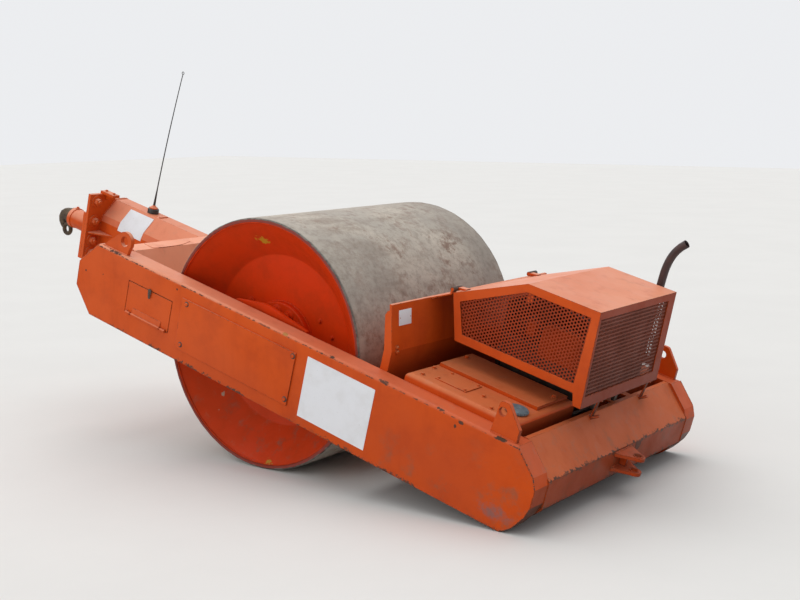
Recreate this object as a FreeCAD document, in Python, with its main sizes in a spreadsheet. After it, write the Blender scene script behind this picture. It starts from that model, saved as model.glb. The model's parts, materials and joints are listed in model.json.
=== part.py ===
"""Towed vibrating road roller: one smooth drum in a welded frame, with the engine behind it.

Every piece is drawn in the machine's own axes: x forward, y left, z up, measured from the
drum's axle. The parked machine rests on its drum and on its tail, so all pieces are then
tipped nose up together about the axle.
"""
import FreeCAD, Part
import Sketcher
import math
import os
import re

doc = FreeCAD.newDocument("road_roller")
sheet = doc.addObject("Spreadsheet::Sheet", "dim")
WORDS = {"sqrt", "sin", "cos", "tan", "abs", "min", "max"}

# Driving dimensions in millimetres: name, value, what it is
SIZES = [
    ("drum_radius", 750, "outside of the drum shell"),
    ("drum_half", 800, "half the drum's width"),
    ("drum_wall", 25, "thickness of the drum shell"),
    ("head_in", 200, "how far the flat disc lies inside the drum's edge"),
    ("head_radius", 520, "flat disc, inside the conical band"),
    ("head_plate", 20, "thickness of the drum's end plate"),
    ("head_lip", 5, "how far the conical band stops short of the drum's edge"),
    ("hub_radius", 237, "round flange on the drum's end"),
    ("hub_plate", 40, "thickness of that flange"),
    ("boss_radius", 110, "round boss outside the flange"),
    ("boss_long", 100, "length of that boss"),
    ("axle_radius", 60, "stub axle in the bearing"),
    ("axle_end", 8, "how far the stub axle stands out of its carrier"),
    ("axle_fit", 0.05, "radial clearance of the stub axle in its bearing"),
    ("bite", 2, "how far a welded piece is drawn into what carries it"),
    ("past", 10, "how far a cutting shape runs past what it cuts"),
    ("side_clear", 28, "gap between the drum's edge and the side beam"),
    ("beam_thick", 132, "side beam, across"),
    ("beam_top", 212, "top of the side beams"),
    ("beam_bottom", -262, "bottom of the side beams"),
    ("beam_high", 48, "upper end of the beams' upright tips"),
    ("beam_low", -110, "lower end of the beams' upright tips"),
    ("front_top", 1297, "front end of the side beam's top edge"),
    ("front_tip", 1452, "front end of the side beam"),
    ("rear_top", -1860, "rear end of the side beam's top edge"),
    ("rear_tip", -2034, "rear end of the side beam"),
    ("rear_bottom", -1900, "rear end of the side beam's bottom edge"),
    ("end_top", -1884, "side beam's rear end cap, start of its slope"),
    ("end_brow", -2008, "end cap, first bend"),
    ("end_brow_w", 92, "end cap, height of that bend"),
    ("end_high", 34, "end cap, top of its upright face"),
    ("end_low", -66, "end cap, bottom of its upright face"),
    ("end_chin", -2012, "end cap, bend under that face"),
    ("end_chin_w", -130, "end cap, height of that bend"),
    ("end_cheek", -1956, "end cap, last bend"),
    ("end_cheek_w", -216, "end cap, height of the last bend"),
    ("beam_round", 20, "bend along the side beam's top edge"),
    ("box_front", 985, "tool box opening, front"),
    ("box_rear", 590, "tool box opening, rear"),
    ("box_top", 80, "tool box opening, top"),
    ("box_floor", -125, "tool box opening, bottom"),
    ("box_deep", 100, "depth of the tool box in the side beam"),
    ("door_gap", 5, "gap all round the tool box door"),
    ("door_thick", 6, "tool box door"),
    ("door_pin", 4, "radius of the door's hinge pin"),
    ("door_knuckle", 8, "radius of the door's hinge barrels"),
    ("barrel_start", 20, "fixed hinge barrels, from the ends of the opening"),
    ("barrel_long", 40, "length of one fixed hinge barrel"),
    ("barrel_gap", 10, "gap between the fixed barrels and the door's own"),
    ("strap_high", 40, "door hinge strap, height above the pin"),
    ("strap_thick", 3, "door hinge strap, thickness"),
    ("pin_fit", 0.05, "radial clearance on hinge pins"),
    ("latch_radius", 14, "key latch on the door"),
    ("latch_high", 8, "how far the latch stands out"),
    ("latch_drop", 28, "latch, below the opening's top edge"),
    ("cover_front", 511, "bearing cover plate, front edge"),
    ("cover_rear", -412, "bearing cover plate, rear edge"),
    ("cover_top", 134, "bearing cover plate, top edge"),
    ("cover_bottom", -185, "bearing cover plate, bottom edge"),
    ("cover_thick", 8, "bearing cover plate"),
    ("bracket_thick", 25, "bearing carrier plate beside the drum"),
    ("bracket_rubber", 28, "rubber buffers between carrier and side beam"),
    ("bracket_peak", 250, "top of the bearing carrier"),
    ("bracket_reach", 340, "half length of the bearing carrier"),
    ("bracket_low", -220, "bottom of the bearing carrier"),
    ("bracket_drop", 43, "how far the carrier's upper corners lie below its top"),
    ("bracket_corner", 238, "front upper corner of the carrier"),
    ("bracket_heel", -323, "rear upper corner of the carrier"),
    ("bracket_flat", 35, "half width of the carrier's flat top"),
    ("housing_radius", 125, "bearing housing on the carrier"),
    ("housing_deep", 22, "bearing housing, along the axle"),
    ("buffer_radius", 52, "one rubber buffer"),
    ("buffer_x", 255, "rubber buffers, fore and aft of the axle"),
    ("buffer_z", 130, "rubber buffers, above and below the axle"),
    ("cross_back", 1120, "front cross beam, rear edge of its top"),
    ("cross_front", 1225, "front cross beam, front edge of its top"),
    ("cross_heel", 905, "front cross beam, lowest rear edge"),
    ("cross_nose", 1385, "front cross beam, front face"),
    ("cross_shelf", -42, "front cross beam, where its back turns down"),
    ("nose_front", 2190, "front end of the drawbar"),
    ("crown_w", 172, "top of the drawbar"),
    ("crown_half", 52, "half width of the drawbar's flat top"),
    ("shoulder_w", 62, "lower end of the drawbar's slopes"),
    ("shoulder_half", 150, "half width there"),
    ("nose_half", 166, "half width of the drawbar's sides"),
    ("nose_side", 20, "top of the drawbar's upright sides"),
    ("nose_low", -242, "bottom of the drawbar"),
    ("nose_wall", 14, "plate of the drawbar"),
    ("flange_half", 290, "half width of the front flange plates"),
    ("flange_top", 220, "top of the rear flange plate's left ear"),
    ("ear_inner", 120, "rear flange plate, inner edge of that ear"),
    ("flange_thick", 25, "one front flange plate"),
    ("hose_rear", 135, "hose bracket, length behind the rear flange plate's front"),
    ("hose_inner", 124, "hose bracket, inner edge"),
    ("hose_outer", 184, "hose bracket, outer edge"),
    ("hose_high", 18, "hose bracket, height"),
    ("coupling_top", 78, "top of the bolted coupling plate"),
    ("tube_w", -118, "axis of the coupling tube"),
    ("tube_radius", 72, "coupling tube, outside"),
    ("tube_bore", 40, "bore of the coupling tube"),
    ("tube_front", 425, "how far the coupling tube reaches ahead of the flange"),
    ("shank_long", 115, "tow eye's shank inside the tube"),
    ("shank_play", 15, "room behind the shank"),
    ("eye_gap", 6, "gap between the tube's end and the tow eye's collar"),
    ("eye_collar", 20, "length of the tow eye's collar"),
    ("eye_collar_radius", 66, "tow eye's collar"),
    ("eye_root", 58, "tow eye's plate at the collar, half height"),
    ("eye_brow", 52, "upper front corner of the tow eye's plate, above the axis"),
    ("eye_slant", 58, "how far that corner lies behind the front"),
    ("eye_cheek", 8, "top of the tow eye's front edge, above the axis"),
    ("eye_chin", -64, "bottom of the tow eye's front edge, below the axis"),
    ("eye_rake", 10, "how far the front edge leans back downwards"),
    ("eye_half", 16, "half the thickness of the tow eye"),
    ("eye_u", 59, "tow eye hole, from the coupling tube's end"),
    ("eye_w", -110, "tow eye hole, height from the tube's axis"),
    ("eye_hole", 20, "radius of the tow eye hole"),
    ("eye_ring", 50, "outer radius round the hole"),
    ("eye_front", 173, "front of the tow eye, from the coupling tube's end"),
    ("lug_thick", 25, "lifting lugs"),
    ("front_lug_u", 1095, "front lug, centre of its hole"),
    ("front_lug_w", 290, "front lug, height of its hole"),
    ("front_lug_ring", 62, "front lug, outer radius"),
    ("front_lug_hole", 32, "front lug, radius of its hole"),
    ("front_lug_heel", 1055, "front lug, rear end of its foot"),
    ("front_lug_toe", 1278, "front lug, front end of its foot"),
    ("rear_lug_u", -1744, "rear lug, centre of its hole"),
    ("rear_lug_w", 337, "rear lug, height of its hole"),
    ("rear_lug_hole", 24, "rear lug, radius of its hole"),
    ("rear_lug_crest", 392, "rear lug, top"),
    ("rear_lug_half", 26, "rear lug, half width of its top"),
    ("rear_lug_toe", -1700, "rear lug, front end of its foot"),
    ("rear_lug_heel", 280, "rear lug, top of its short rear edge"),
    ("wall_back", -943, "rear face of the bulkhead behind the drum, below its bend"),
    ("wall_thick", 15, "bulkhead plate"),
    ("wall_low", -230, "bottom of the bulkhead"),
    ("wall_bend", 326, "height of the bulkhead's bend"),
    ("wall_crest", -879, "rear face of the bulkhead at its top, which leans forward"),
    ("wall_top", 577, "top of the bulkhead"),
    ("wing_low", 150, "bulkhead's end gussets, foot"),
    ("wing_front", -890, "end gusset, front edge below the bend"),
    ("wing_nose", -850, "end gusset, front corner"),
    ("wing_high", 510, "end gusset, height of that corner"),
    ("wing_brow", -860, "end gusset, upper corner"),
    ("wing_brow_w", 536, "end gusset, height of that corner"),
    ("wing_top", 549, "end gusset, top of its rear edge"),
    ("cowl_rear", -1005, "plate from the bulkhead's top to the hood, rear edge"),
    ("cowl_rear_w", 6, "how far that edge lies below the hood's front edge"),
    ("cowl_thick", 8, "that plate"),
    ("tail_front", -1834, "inner face of the rear cross beam"),
    ("tongue_end", -1784, "tongues on that face, free end"),
    ("tongue_left", -160, "left tongue, across"),
    ("tongue_right", -350, "right tongue, across"),
    ("tongue_half", 27, "tongues, half width"),
    ("tongue_thick", 8, "tongues, plate"),
    ("pan_thick", 12, "belly plate"),
    ("engine_front", -1180, "engine, front"),
    ("engine_rear", -1740, "engine, rear"),
    ("engine_half", 190, "engine, half width"),
    ("engine_top", 560, "engine, top"),
    ("tank_front", -1060, "tanks, front"),
    ("tank_rear", -1775, "tanks, rear"),
    ("tank_inner", 205, "tanks, side next to the engine"),
    ("tank_top", 260, "tanks, top"),
    ("tank_round", 26, "bend along the tanks' top edges"),
    ("lid_front", -1092, "raised lid, front"),
    ("lid_rear", -1735, "raised lid, rear"),
    ("lid_inner", 235, "raised lid, inner edge"),
    ("lid_outer", 271, "raised lid, from its outer edge to the tank's outer side"),
    ("lid_thick", 20, "raised lid"),
    ("cap_u", -1690, "filler cap, along"),
    ("cap_edge", 138, "filler cap, from the tank's outer side"),
    ("cap_radius", 62, "filler cap"),
    ("cap_high", 30, "filler cap, height of its rim"),
    ("neck_high", 14, "filler neck below the cap"),
    ("pipe_u", -1765, "exhaust pipe, along"),
    ("pipe_y", 298, "exhaust pipe, from the right beam's inner face"),
    ("pipe_radius", 23, "exhaust pipe, outside"),
    ("pipe_wall", 3, "exhaust pipe, wall"),
    ("pipe_turn", 1010, "height where the exhaust pipe turns"),
    ("pipe_bend", 3.2, "room for the bend, in pipe radii"),
    ("pipe_top", 1146, "top end of the exhaust pipe"),
    ("pipe_back", -1858, "rear end of the exhaust pipe"),
    ("whip_u", 1853, "aerial, along"),
    ("whip_radius", 40, "aerial, foot"),
    ("whip_foot", 36, "aerial, height of its foot"),
    ("whip_collar", 8, "aerial, height of the collar on its foot"),
    ("whip_collar_radius", 20, "aerial, collar"),
    ("whip_top", 1216, "aerial, tip"),
    ("whip_back", -80, "how far the aerial's tip leans back"),
    ("whip_rod", 4, "radius of the aerial's rod"),
    ("hood_half", 459, "hood, half width"),
    ("hood_wall", 4, "hood plate"),
    ("hood_front", -1012, "hood, front edge"),
    ("hood_front_w", 651, "hood, height of its front edge"),
    ("hood_peak", -1452, "hood, ridge"),
    ("hood_top", 859, "hood, height of the flat roof"),
    ("hood_rear", -1899, "hood, rear edge of the roof"),
    ("hood_foot", -1928, "hood, foot of its rear panel"),
    ("hood_post", 328, "hood, height of that foot"),
    ("hood_toe", -1879, "hood, front edge of the folded foot"),
    ("hood_heel", -1861, "hood, where that edge meets the side's lower edge"),
    ("hood_low", 395, "hood, lower edge"),
    ("hood_chin", -1090, "hood, front end of its lower edge"),
    ("hood_rail", 46, "width of the hood's frame round its side grilles"),
    ("window_front", -1068, "side grille, front"),
    ("window_front_w", 618, "side grille, top of its front edge"),
    ("window_peak", -1458, "side grille, where its top edge turns"),
    ("window_foot", -1852, "side grille, rear end of its lower edge"),
    ("window_chin", -1128, "side grille, front end of its lower edge"),
    ("window_low", 445, "side grille, lower edge"),
    ("screen_left", 438, "rear grille, left edge"),
    ("screen_right", -375, "rear grille, right edge"),
    ("screen_low", 392, "rear grille, lower edge"),
    ("screen_top", 817, "rear grille, upper edge"),
    ("mesh_thick", 3, "hood grille sheet"),
    ("hinge_u", -998, "hood hinge, along"),
    ("hinge_w", 13, "hood hinge, height above the hood's front edge"),
    ("hinge_y", 410, "hood hinge, middle of the pair of barrels"),
    ("hinge_radius", 11, "hood hinge barrels"),
    ("hinge_pin", 6, "hood hinge pins"),
    ("hinge_long", 42, "one hood hinge barrel"),
    ("hinge_gap", 2, "half the gap between two barrels"),
    ("hinge_strap", 48, "length of the hinge strap on the roof"),
    ("strap_rise", 6, "thickness of that strap"),
    ("rest_left", 168, "left hood rest, across"),
    ("rest_right", -430, "right hood rest, across"),
    ("rest_half", 14, "hood rests, half width"),
    ("rest_foot", -1874, "hood rests, middle of the foot"),
    ("rest_head", -1894, "hood rests, middle of the head"),
    ("rest_deep", 12, "hood rests, half length"),
    ("rest_gap", 0.3, "gap between the hood and its rests"),
    ("clevis_hole", 20, "rear hitch, radius of its hole"),
    ("clevis_u", -2127, "rear hitch, hole"),
    ("clevis_half", 105, "rear hitch, half width at the beam"),
    ("clevis_tip", 42, "rear hitch, radius round the hole"),
    ("clevis_plate", 20, "rear hitch, one plate"),
    ("clevis_web", 40, "rear hitch, depth of the web in the beam"),
    ("clevis_web_half", 10, "rear hitch, half thickness of the web"),
    ("clevis_upper", 15, "rear hitch, underside of the upper plate"),
    ("clevis_lower", -52, "rear hitch, top of the lower plate"),
]
for row, (alias, value, meaning) in enumerate(SIZES, start=1):
    sheet.set("A%d" % row, meaning)
    sheet.set("B%d" % row, str(value))
    sheet.setAlias("B%d" % row, alias)
doc.recompute()


def bound(expression):
    """The expression with every size read from the sheet."""
    def cell(match):
        word = match.group()
        return word if word in WORDS else "dim." + word
    return re.sub(r"[a-z][a-z_]*", cell, str(expression))


def size(expression):
    return float(sheet.evalExpression(bound(expression)))


# Names used in several pieces
HEAD_Y = "(drum_half - head_in)"
BEAM_IN = "(drum_half + side_clear)"
COWL_UP = "(hood_front_w - cowl_rear_w)"
HINGE_UP = "(hood_front_w + hinge_w)"
BEAM_OUT = "(drum_half + side_clear + beam_thick)"
BRACKET_OUT = "(drum_half + side_clear - bracket_rubber)"
BRACKET_IN = "(drum_half + side_clear - bracket_rubber - bracket_thick)"
HATCH_AXIS_Y = "(drum_half + side_clear + beam_thick + door_knuckle + 1)"
HATCH_AXIS_Z = "(box_floor + door_gap)"
FLANGE_FRONT = "(nose_front + 2 * flange_thick)"
TUBE_FRONT = "(nose_front + 2 * flange_thick + tube_front)"
EYE_U = "(nose_front + 2 * flange_thick + tube_front + eye_u)"
EYE_W = "(tube_w + eye_w)"
# The two legs of a 3-4-5 triangle, for the places where an edge leaves a round end
NEAR, FAR = 0.6, 0.8

pieces = []


def new_piece(label):
    body = doc.addObject("PartDesign::Body", label)
    body.Label = label
    pieces.append(body)
    return body


def new_sketch(body, plane, height):
    """An empty sketch parallel to one of the body's own planes, at a height along its normal."""
    sketch = body.newObject("Sketcher::SketchObject", "outline")
    support = [item for item in body.Origin.OriginFeatures if item.Role == plane][0]
    sketch.AttachmentSupport = [(support, "")]
    sketch.MapMode = "FlatFace"
    sketch.setExpression("AttachmentOffset.Base.z", bound(height))
    return sketch


def set_point(sketch, line, corner):
    for kind, expression in zip(("DistanceX", "DistanceY"), corner):
        index = sketch.addConstraint(Sketcher.Constraint(kind, -1, 1, line, 1, size(expression)))
        sketch.setExpression("Constraints[%d]" % index, bound(expression))


def draw_corners(sketch, corners):
    """A closed outline of straight lines through corners bound to the sheet."""
    points = [FreeCAD.Vector(size(a), size(b), 0) for a, b in corners]
    first = sketch.GeometryCount
    count = len(points)
    for i in range(count):
        sketch.addGeometry(Part.LineSegment(points[i], points[(i + 1) % count]), False)
    for i in range(count):
        sketch.addConstraint(Sketcher.Constraint("Coincident", first + i, 2, first + (i + 1) % count, 1))
    for i, corner in enumerate(corners):
        set_point(sketch, first + i, corner)


def draw_circle(sketch, centre, radius):
    point = FreeCAD.Vector(size(centre[0]), size(centre[1]), 0)
    index = sketch.addGeometry(Part.Circle(point, FreeCAD.Vector(0, 0, 1), size(radius)), False)
    for kind, expression in zip(("DistanceX", "DistanceY"), centre):
        constraint = sketch.addConstraint(Sketcher.Constraint(kind, -1, 1, index, 3, size(expression)))
        sketch.setExpression("Constraints[%d]" % constraint, bound(expression))
    constraint = sketch.addConstraint(Sketcher.Constraint("Radius", index, size(radius)))
    sketch.setExpression("Constraints[%d]" % constraint, bound(radius))


def extrude(body, kind, plane, low, high, draw):
    """Pad or pocket between two heights; the upright plane looks towards the right side."""
    base = "-(%s)" % high if plane == "XZ_Plane" else low
    sketch = new_sketch(body, plane, base)
    draw(sketch)
    feature = body.newObject("PartDesign::" + kind, kind.lower())
    feature.Profile = sketch
    feature.setExpression("Length", bound("(%s) - (%s)" % (high, low)))
    feature.Reversed = kind == "Pocket"
    body.Tip = feature
    return feature


def pad(body, plane, low, high, corners):
    return extrude(body, "Pad", plane, low, high, lambda sketch: draw_corners(sketch, corners))


def cut(body, plane, low, high, corners):
    return extrude(body, "Pocket", plane, low, high, lambda sketch: draw_corners(sketch, corners))


def post(body, plane, low, high, centre, radius):
    return extrude(body, "Pad", plane, low, high, lambda sketch: draw_circle(sketch, centre, radius))


def bore(body, plane, low, high, centre, radius):
    return extrude(body, "Pocket", plane, low, high, lambda sketch: draw_circle(sketch, centre, radius))


def turn(body, corners):
    """A solid turned about the drum's axle, from corners given as (across, radius)."""
    sketch = new_sketch(body, "YZ_Plane", "0")
    draw_corners(sketch, corners)
    feature = body.newObject("PartDesign::Revolution", "turned")
    feature.Profile = sketch
    feature.ReferenceAxis = (sketch, ["H_Axis"])
    feature.Angle = 360
    body.Tip = feature
    return feature


def round_edges(body, radius, wanted):
    """Round the edges of the body's tip whose middle passes the test."""
    doc.recompute()
    base = body.Tip
    names = []
    for number, edge in enumerate(base.Shape.Edges, start=1):
        middle = edge.CenterOfMass
        along = edge.tangentAt(edge.FirstParameter)
        if wanted(middle, along):
            names.append("Edge%d" % number)
    feature = body.newObject("PartDesign::Fillet", "rounded")
    feature.Base = (base, names)
    feature.setExpression("Radius", bound(radius))
    body.Tip = feature
    return feature


def rectangle(left, right, bottom, top):
    return [(left, bottom), (right, bottom), (right, top), (left, top)]


def sided(side, low, high):
    """The range across the machine on one side: the left is positive."""
    return (low, high) if side == "left" else ("-(%s)" % high, "-(%s)" % low)


def signed(side, expression):
    return expression if side == "left" else "-(%s)" % expression


def around(centre_x, centre_z, radius, over, up):
    """A corner on a circle, where its sides leave it."""
    return ("%s + (%s) * %s" % (centre_x, over, radius), "%s + (%s) * %s" % (centre_z, up, radius))


# Drum
def drum_shell():
    body = new_piece("drum_shell")
    inner = "drum_radius - drum_wall"
    turn(body, rectangle("-drum_half", "drum_half", inner, "drum_radius"))


def drum_head(side):
    body = new_piece("drum_head_" + side)
    rim = "(drum_radius - drum_wall)"
    outline = [
        (HEAD_Y + " - head_plate", "0"),
        (HEAD_Y + " - head_plate", "head_radius + head_plate / 2"),
        ("drum_half - head_lip - head_plate", rim),
        ("drum_half - head_lip", rim),
        (HEAD_Y, "head_radius"),
        (HEAD_Y, "0"),
    ]
    turn(body, [(signed(side, across), radius) for across, radius in outline])


def hub(side):
    body = new_piece("hub_" + side)
    flange = HEAD_Y + " + hub_plate"
    outline = [
        (HEAD_Y, "0"),
        (HEAD_Y, "hub_radius"),
        (flange, "hub_radius"),
        (flange, "boss_radius"),
        (flange + " + boss_long", "boss_radius"),
        (flange + " + boss_long", "axle_radius"),
        (BRACKET_OUT + " + axle_end", "axle_radius"),
        (BRACKET_OUT + " + axle_end", "0"),
    ]
    turn(body, [(signed(side, across), radius) for across, radius in outline])


# Bearings and what carries them
def bearing_bracket(side):
    body = new_piece("bearing_bracket_" + side)
    outline = [
        ("-bracket_reach", "bracket_low"),
        ("bracket_reach", "bracket_low"),
        ("bracket_reach", "bracket_peak / 2"),
        ("bracket_corner", "bracket_peak - bracket_drop"),
        ("bracket_flat", "bracket_peak"),
        ("-bracket_flat", "bracket_peak"),
        ("bracket_heel", "bracket_peak - bracket_drop"),
        ("-bracket_reach", "bracket_peak / 2"),
    ]
    low, high = sided(side, BRACKET_IN, BRACKET_OUT)
    pad(body, "XZ_Plane", low, high, outline)
    low, high = sided(side, BRACKET_IN + " - housing_deep", BRACKET_IN)
    post(body, "XZ_Plane", low, high, ("0", "0"), "housing_radius")
    low, high = sided(side, BRACKET_IN + " - housing_deep", BRACKET_OUT)
    bore(body, "XZ_Plane", low, high, ("0", "0"), "axle_radius + axle_fit")


def rubber_mounts(side):
    """Four loose discs in one piece, so the shape is set here from the sheet's sizes."""
    low, high = sided(side, BRACKET_OUT, BEAM_IN)
    start = min(size(low), size(high))
    length = size("bracket_rubber")
    discs = []
    for x in (-size("buffer_x"), size("buffer_x")):
        for z in (-size("buffer_z"), size("buffer_z")):
            foot = FreeCAD.Vector(x, start, z)
            discs.append(Part.makeCylinder(size("buffer_radius"), length, foot, FreeCAD.Vector(0, 1, 0)))
    piece = doc.addObject("Part::Feature", "rubber_mounts_" + side)
    piece.Label = "rubber_mounts_" + side
    piece.Shape = Part.makeCompound(discs)
    pieces.append(piece)


# Side beams
def beam_outline():
    return [
        ("end_top", "beam_top"),
        ("end_brow", "end_brow_w"),
        ("rear_tip", "end_high"),
        ("rear_tip", "end_low"),
        ("end_chin", "end_chin_w"),
        ("end_cheek", "end_cheek_w"),
        ("rear_bottom", "beam_bottom"),
        ("front_top", "beam_bottom"),
        ("front_tip", "beam_low"),
        ("front_tip", "beam_high"),
        ("front_top", "beam_top"),
    ]


def side_beam(side):
    body = new_piece("side_beam_" + side)
    low, high = sided(side, BEAM_IN, BEAM_OUT)
    pad(body, "XZ_Plane", low, high, beam_outline())
    outer = size(signed(side, BEAM_OUT))
    top = size("beam_top")

    def top_edge(middle, along):
        return abs(middle.y - outer) < 1 and abs(middle.z - top) < 1 and abs(along.x) > 0.9
    round_edges(body, "beam_round", top_edge)
    low, high = sided(side, BEAM_OUT + " - box_deep", BEAM_OUT)
    cut(body, "XZ_Plane", low, high, rectangle("box_rear", "box_front", "box_floor", "box_top"))
    # Fixed hinge barrels under the tool box door, with their pin
    rear_start = "box_rear + barrel_start"
    front_end = "box_front - barrel_start"
    spans = [(rear_start, rear_start + " + barrel_long"), (front_end + " - barrel_long", front_end)]
    axis = signed(side, HATCH_AXIS_Y)
    for start, end in spans:
        post(body, "YZ_Plane", start, end, (axis, HATCH_AXIS_Z), "door_knuckle")
        block = [
            (signed(side, BEAM_OUT + " - bite"), "box_floor - bite / 2"),
            (axis, "box_floor - bite / 2"),
            (axis, HATCH_AXIS_Z + " - door_knuckle"),
            (signed(side, BEAM_OUT + " - bite"), HATCH_AXIS_Z + " - 2 * door_knuckle"),
        ]
        pad(body, "YZ_Plane", start, end, block)
    post(body, "YZ_Plane", rear_start, front_end, (axis, HATCH_AXIS_Z), "door_pin")


def hatch_door(side):
    body = new_piece("hatch_" + side)
    low, high = sided(side, BEAM_OUT + " - door_thick", BEAM_OUT)
    plate = rectangle("box_rear + door_gap", "box_front - door_gap",
                      "box_floor + door_gap", "box_top - door_gap")
    pad(body, "XZ_Plane", low, high, plate)
    axis = signed(side, HATCH_AXIS_Y)
    inset = "(barrel_start + barrel_long + barrel_gap)"
    start, end = "box_rear + " + inset, "box_front - " + inset
    post(body, "YZ_Plane", start, end, (axis, HATCH_AXIS_Z), "door_knuckle")
    strap = [
        (signed(side, BEAM_OUT + " - bite"), HATCH_AXIS_Z + " + bite"),
        (signed(side, BEAM_OUT + " - bite"), HATCH_AXIS_Z + " + strap_high"),
        (signed(side, BEAM_OUT + " + strap_thick"), HATCH_AXIS_Z + " + strap_high"),
        (axis, HATCH_AXIS_Z + " + door_knuckle - bite"),
        (axis, HATCH_AXIS_Z + " + bite"),
    ]
    pad(body, "YZ_Plane", start, end, strap)
    low, high = sided(side, BEAM_OUT, BEAM_OUT + " + latch_high")
    post(body, "XZ_Plane", low, high, ("(box_rear + box_front) / 2", "box_top - latch_drop"), "latch_radius")
    bore(body, "YZ_Plane", start, end, (axis, HATCH_AXIS_Z), "door_pin + pin_fit")


def bearing_cover(side):
    body = new_piece("bearing_cover_" + side)
    low, high = sided(side, BEAM_OUT, BEAM_OUT + " + cover_thick")
    plate = rectangle("cover_rear", "cover_front", "cover_bottom", "cover_top")
    pad(body, "XZ_Plane", low, high, plate)


# Lifting lugs
def front_lug(side):
    body = new_piece("front_lug_" + side)
    low, high = sided(side, BEAM_OUT + " - lug_thick - beam_round", BEAM_OUT + " - beam_round")
    foot = [
        ("front_lug_heel", "beam_top"),
        ("front_lug_toe", "beam_top"),
        around("front_lug_u", "front_lug_w", "front_lug_ring", NEAR, FAR),
        around("front_lug_u", "front_lug_w", "front_lug_ring", -FAR, -NEAR),
    ]
    pad(body, "XZ_Plane", low, high, foot)
    post(body, "XZ_Plane", low, high, ("front_lug_u", "front_lug_w"), "front_lug_ring")
    bore(body, "XZ_Plane", low, high, ("front_lug_u", "front_lug_w"), "front_lug_hole")


def rear_lug(side):
    body = new_piece("rear_lug_" + side)
    low, high = sided(side, BEAM_OUT + " - lug_thick - beam_round", BEAM_OUT + " - beam_round")
    outline = [
        ("rear_lug_toe", "beam_top"),
        ("rear_lug_u + rear_lug_half", "rear_lug_crest"),
        ("rear_lug_u - rear_lug_half", "rear_lug_crest"),
        ("rear_top", "rear_lug_heel"),
        ("rear_top", "beam_top"),
    ]
    pad(body, "XZ_Plane", low, high, outline)
    bore(body, "XZ_Plane", low, high, ("rear_lug_u", "rear_lug_w"), "rear_lug_hole")
    crest = size("rear_lug_crest - bite")

    def crest_edge(middle, along):
        return middle.z > crest and abs(along.y) > 0.9
    round_edges(body, "rear_lug_hole", crest_edge)


# Front cross beam, drawbar and coupling
def cross_outline():
    return [
        ("cross_back", "beam_top"),
        ("cross_front", "beam_top"),
        ("cross_nose", "beam_high"),
        ("cross_nose", "beam_low"),
        ("cross_front", "beam_bottom"),
        ("cross_heel", "beam_bottom"),
        ("cross_heel", "cross_shelf"),
    ]


def front_beam():
    body = new_piece("front_beam")
    pad(body, "XZ_Plane", "-" + BEAM_IN, BEAM_IN, cross_outline())


def nose_section(inset):
    """Half section of the drawbar, mirrored: flat top, slope, upright side."""
    right = [
        ("crown_half - %s / 2" % inset, "crown_w - %s" % inset),
        ("shoulder_half - %s" % inset, "shoulder_w - %s / 2" % inset),
        ("nose_half - %s" % inset, "nose_side - %s / 4" % inset),
        ("nose_half - %s" % inset, "nose_low + %s" % inset),
    ]
    left = [("-(%s)" % across, up) for across, up in reversed(right)]
    return right + left


def nose():
    body = new_piece("nose")
    pad(body, "YZ_Plane", "cross_front", "nose_front", nose_section("0"))
    cut(body, "YZ_Plane", "cross_front - past", "nose_front + past", nose_section("nose_wall"))
    cut(body, "XZ_Plane", "-nose_half - past", "nose_half + past", cross_outline())


def nose_flange():
    body = new_piece("nose_flange")
    # The left ear stands up; right of it the plate's edge drops along the drawbar
    plate = [
        ("-flange_half", "beam_bottom"),
        ("flange_half", "beam_bottom"),
        ("flange_half", "flange_top"),
        ("ear_inner", "flange_top"),
        ("crown_half", "crown_w"),
        ("-crown_half", "crown_w"),
        ("-flange_half", "coupling_top"),
    ]
    pad(body, "YZ_Plane", "nose_front", "nose_front + flange_thick", plate)


def coupling_plate():
    body = new_piece("coupling_plate")
    plate = rectangle("-flange_half", "flange_half", "beam_bottom", "coupling_top")
    pad(body, "YZ_Plane", "nose_front + flange_thick", FLANGE_FRONT, plate)


def coupling_tube():
    body = new_piece("coupling_tube")
    post(body, "YZ_Plane", FLANGE_FRONT, TUBE_FRONT, ("0", "tube_w"), "tube_radius")
    depth = TUBE_FRONT + " - shank_long - shank_play"
    bore(body, "YZ_Plane", depth, TUBE_FRONT, ("0", "tube_w"), "tube_bore + axle_fit")


def tow_eye():
    body = new_piece("tow_eye")
    root = TUBE_FRONT + " + eye_gap"
    front = TUBE_FRONT + " + eye_front"
    outline = [
        (root + " + bite", "tube_w + eye_root"),
        (front + " - eye_slant", "tube_w + eye_brow"),
        (front, "tube_w + eye_cheek"),
        (front + " - eye_rake", "tube_w + eye_chin"),
        around(EYE_U, EYE_W, "eye_ring", FAR, -NEAR),
        (EYE_U, EYE_W + " - eye_ring"),
        (EYE_U + " - eye_ring", EYE_W),
        (root + " + bite", "tube_w - eye_root"),
    ]
    pad(body, "XZ_Plane", "-eye_half", "eye_half", outline)
    post(body, "XZ_Plane", "-eye_half", "eye_half", (EYE_U, EYE_W), "eye_ring")
    post(body, "YZ_Plane", root, root + " + eye_collar", ("0", "tube_w"), "eye_collar_radius")
    post(body, "YZ_Plane", TUBE_FRONT + " - shank_long", root + " + bite", ("0", "tube_w"), "tube_bore")
    bore(body, "XZ_Plane", "-eye_half - bite", "eye_half + bite", (EYE_U, EYE_W), "eye_hole")


def hose_bracket():
    body = new_piece("hose_bracket")
    front = "nose_front + flange_thick"
    outline = rectangle(front + " - hose_rear", front, "flange_top", "flange_top + hose_high")
    pad(body, "XZ_Plane", "hose_inner", "hose_outer", outline)


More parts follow.
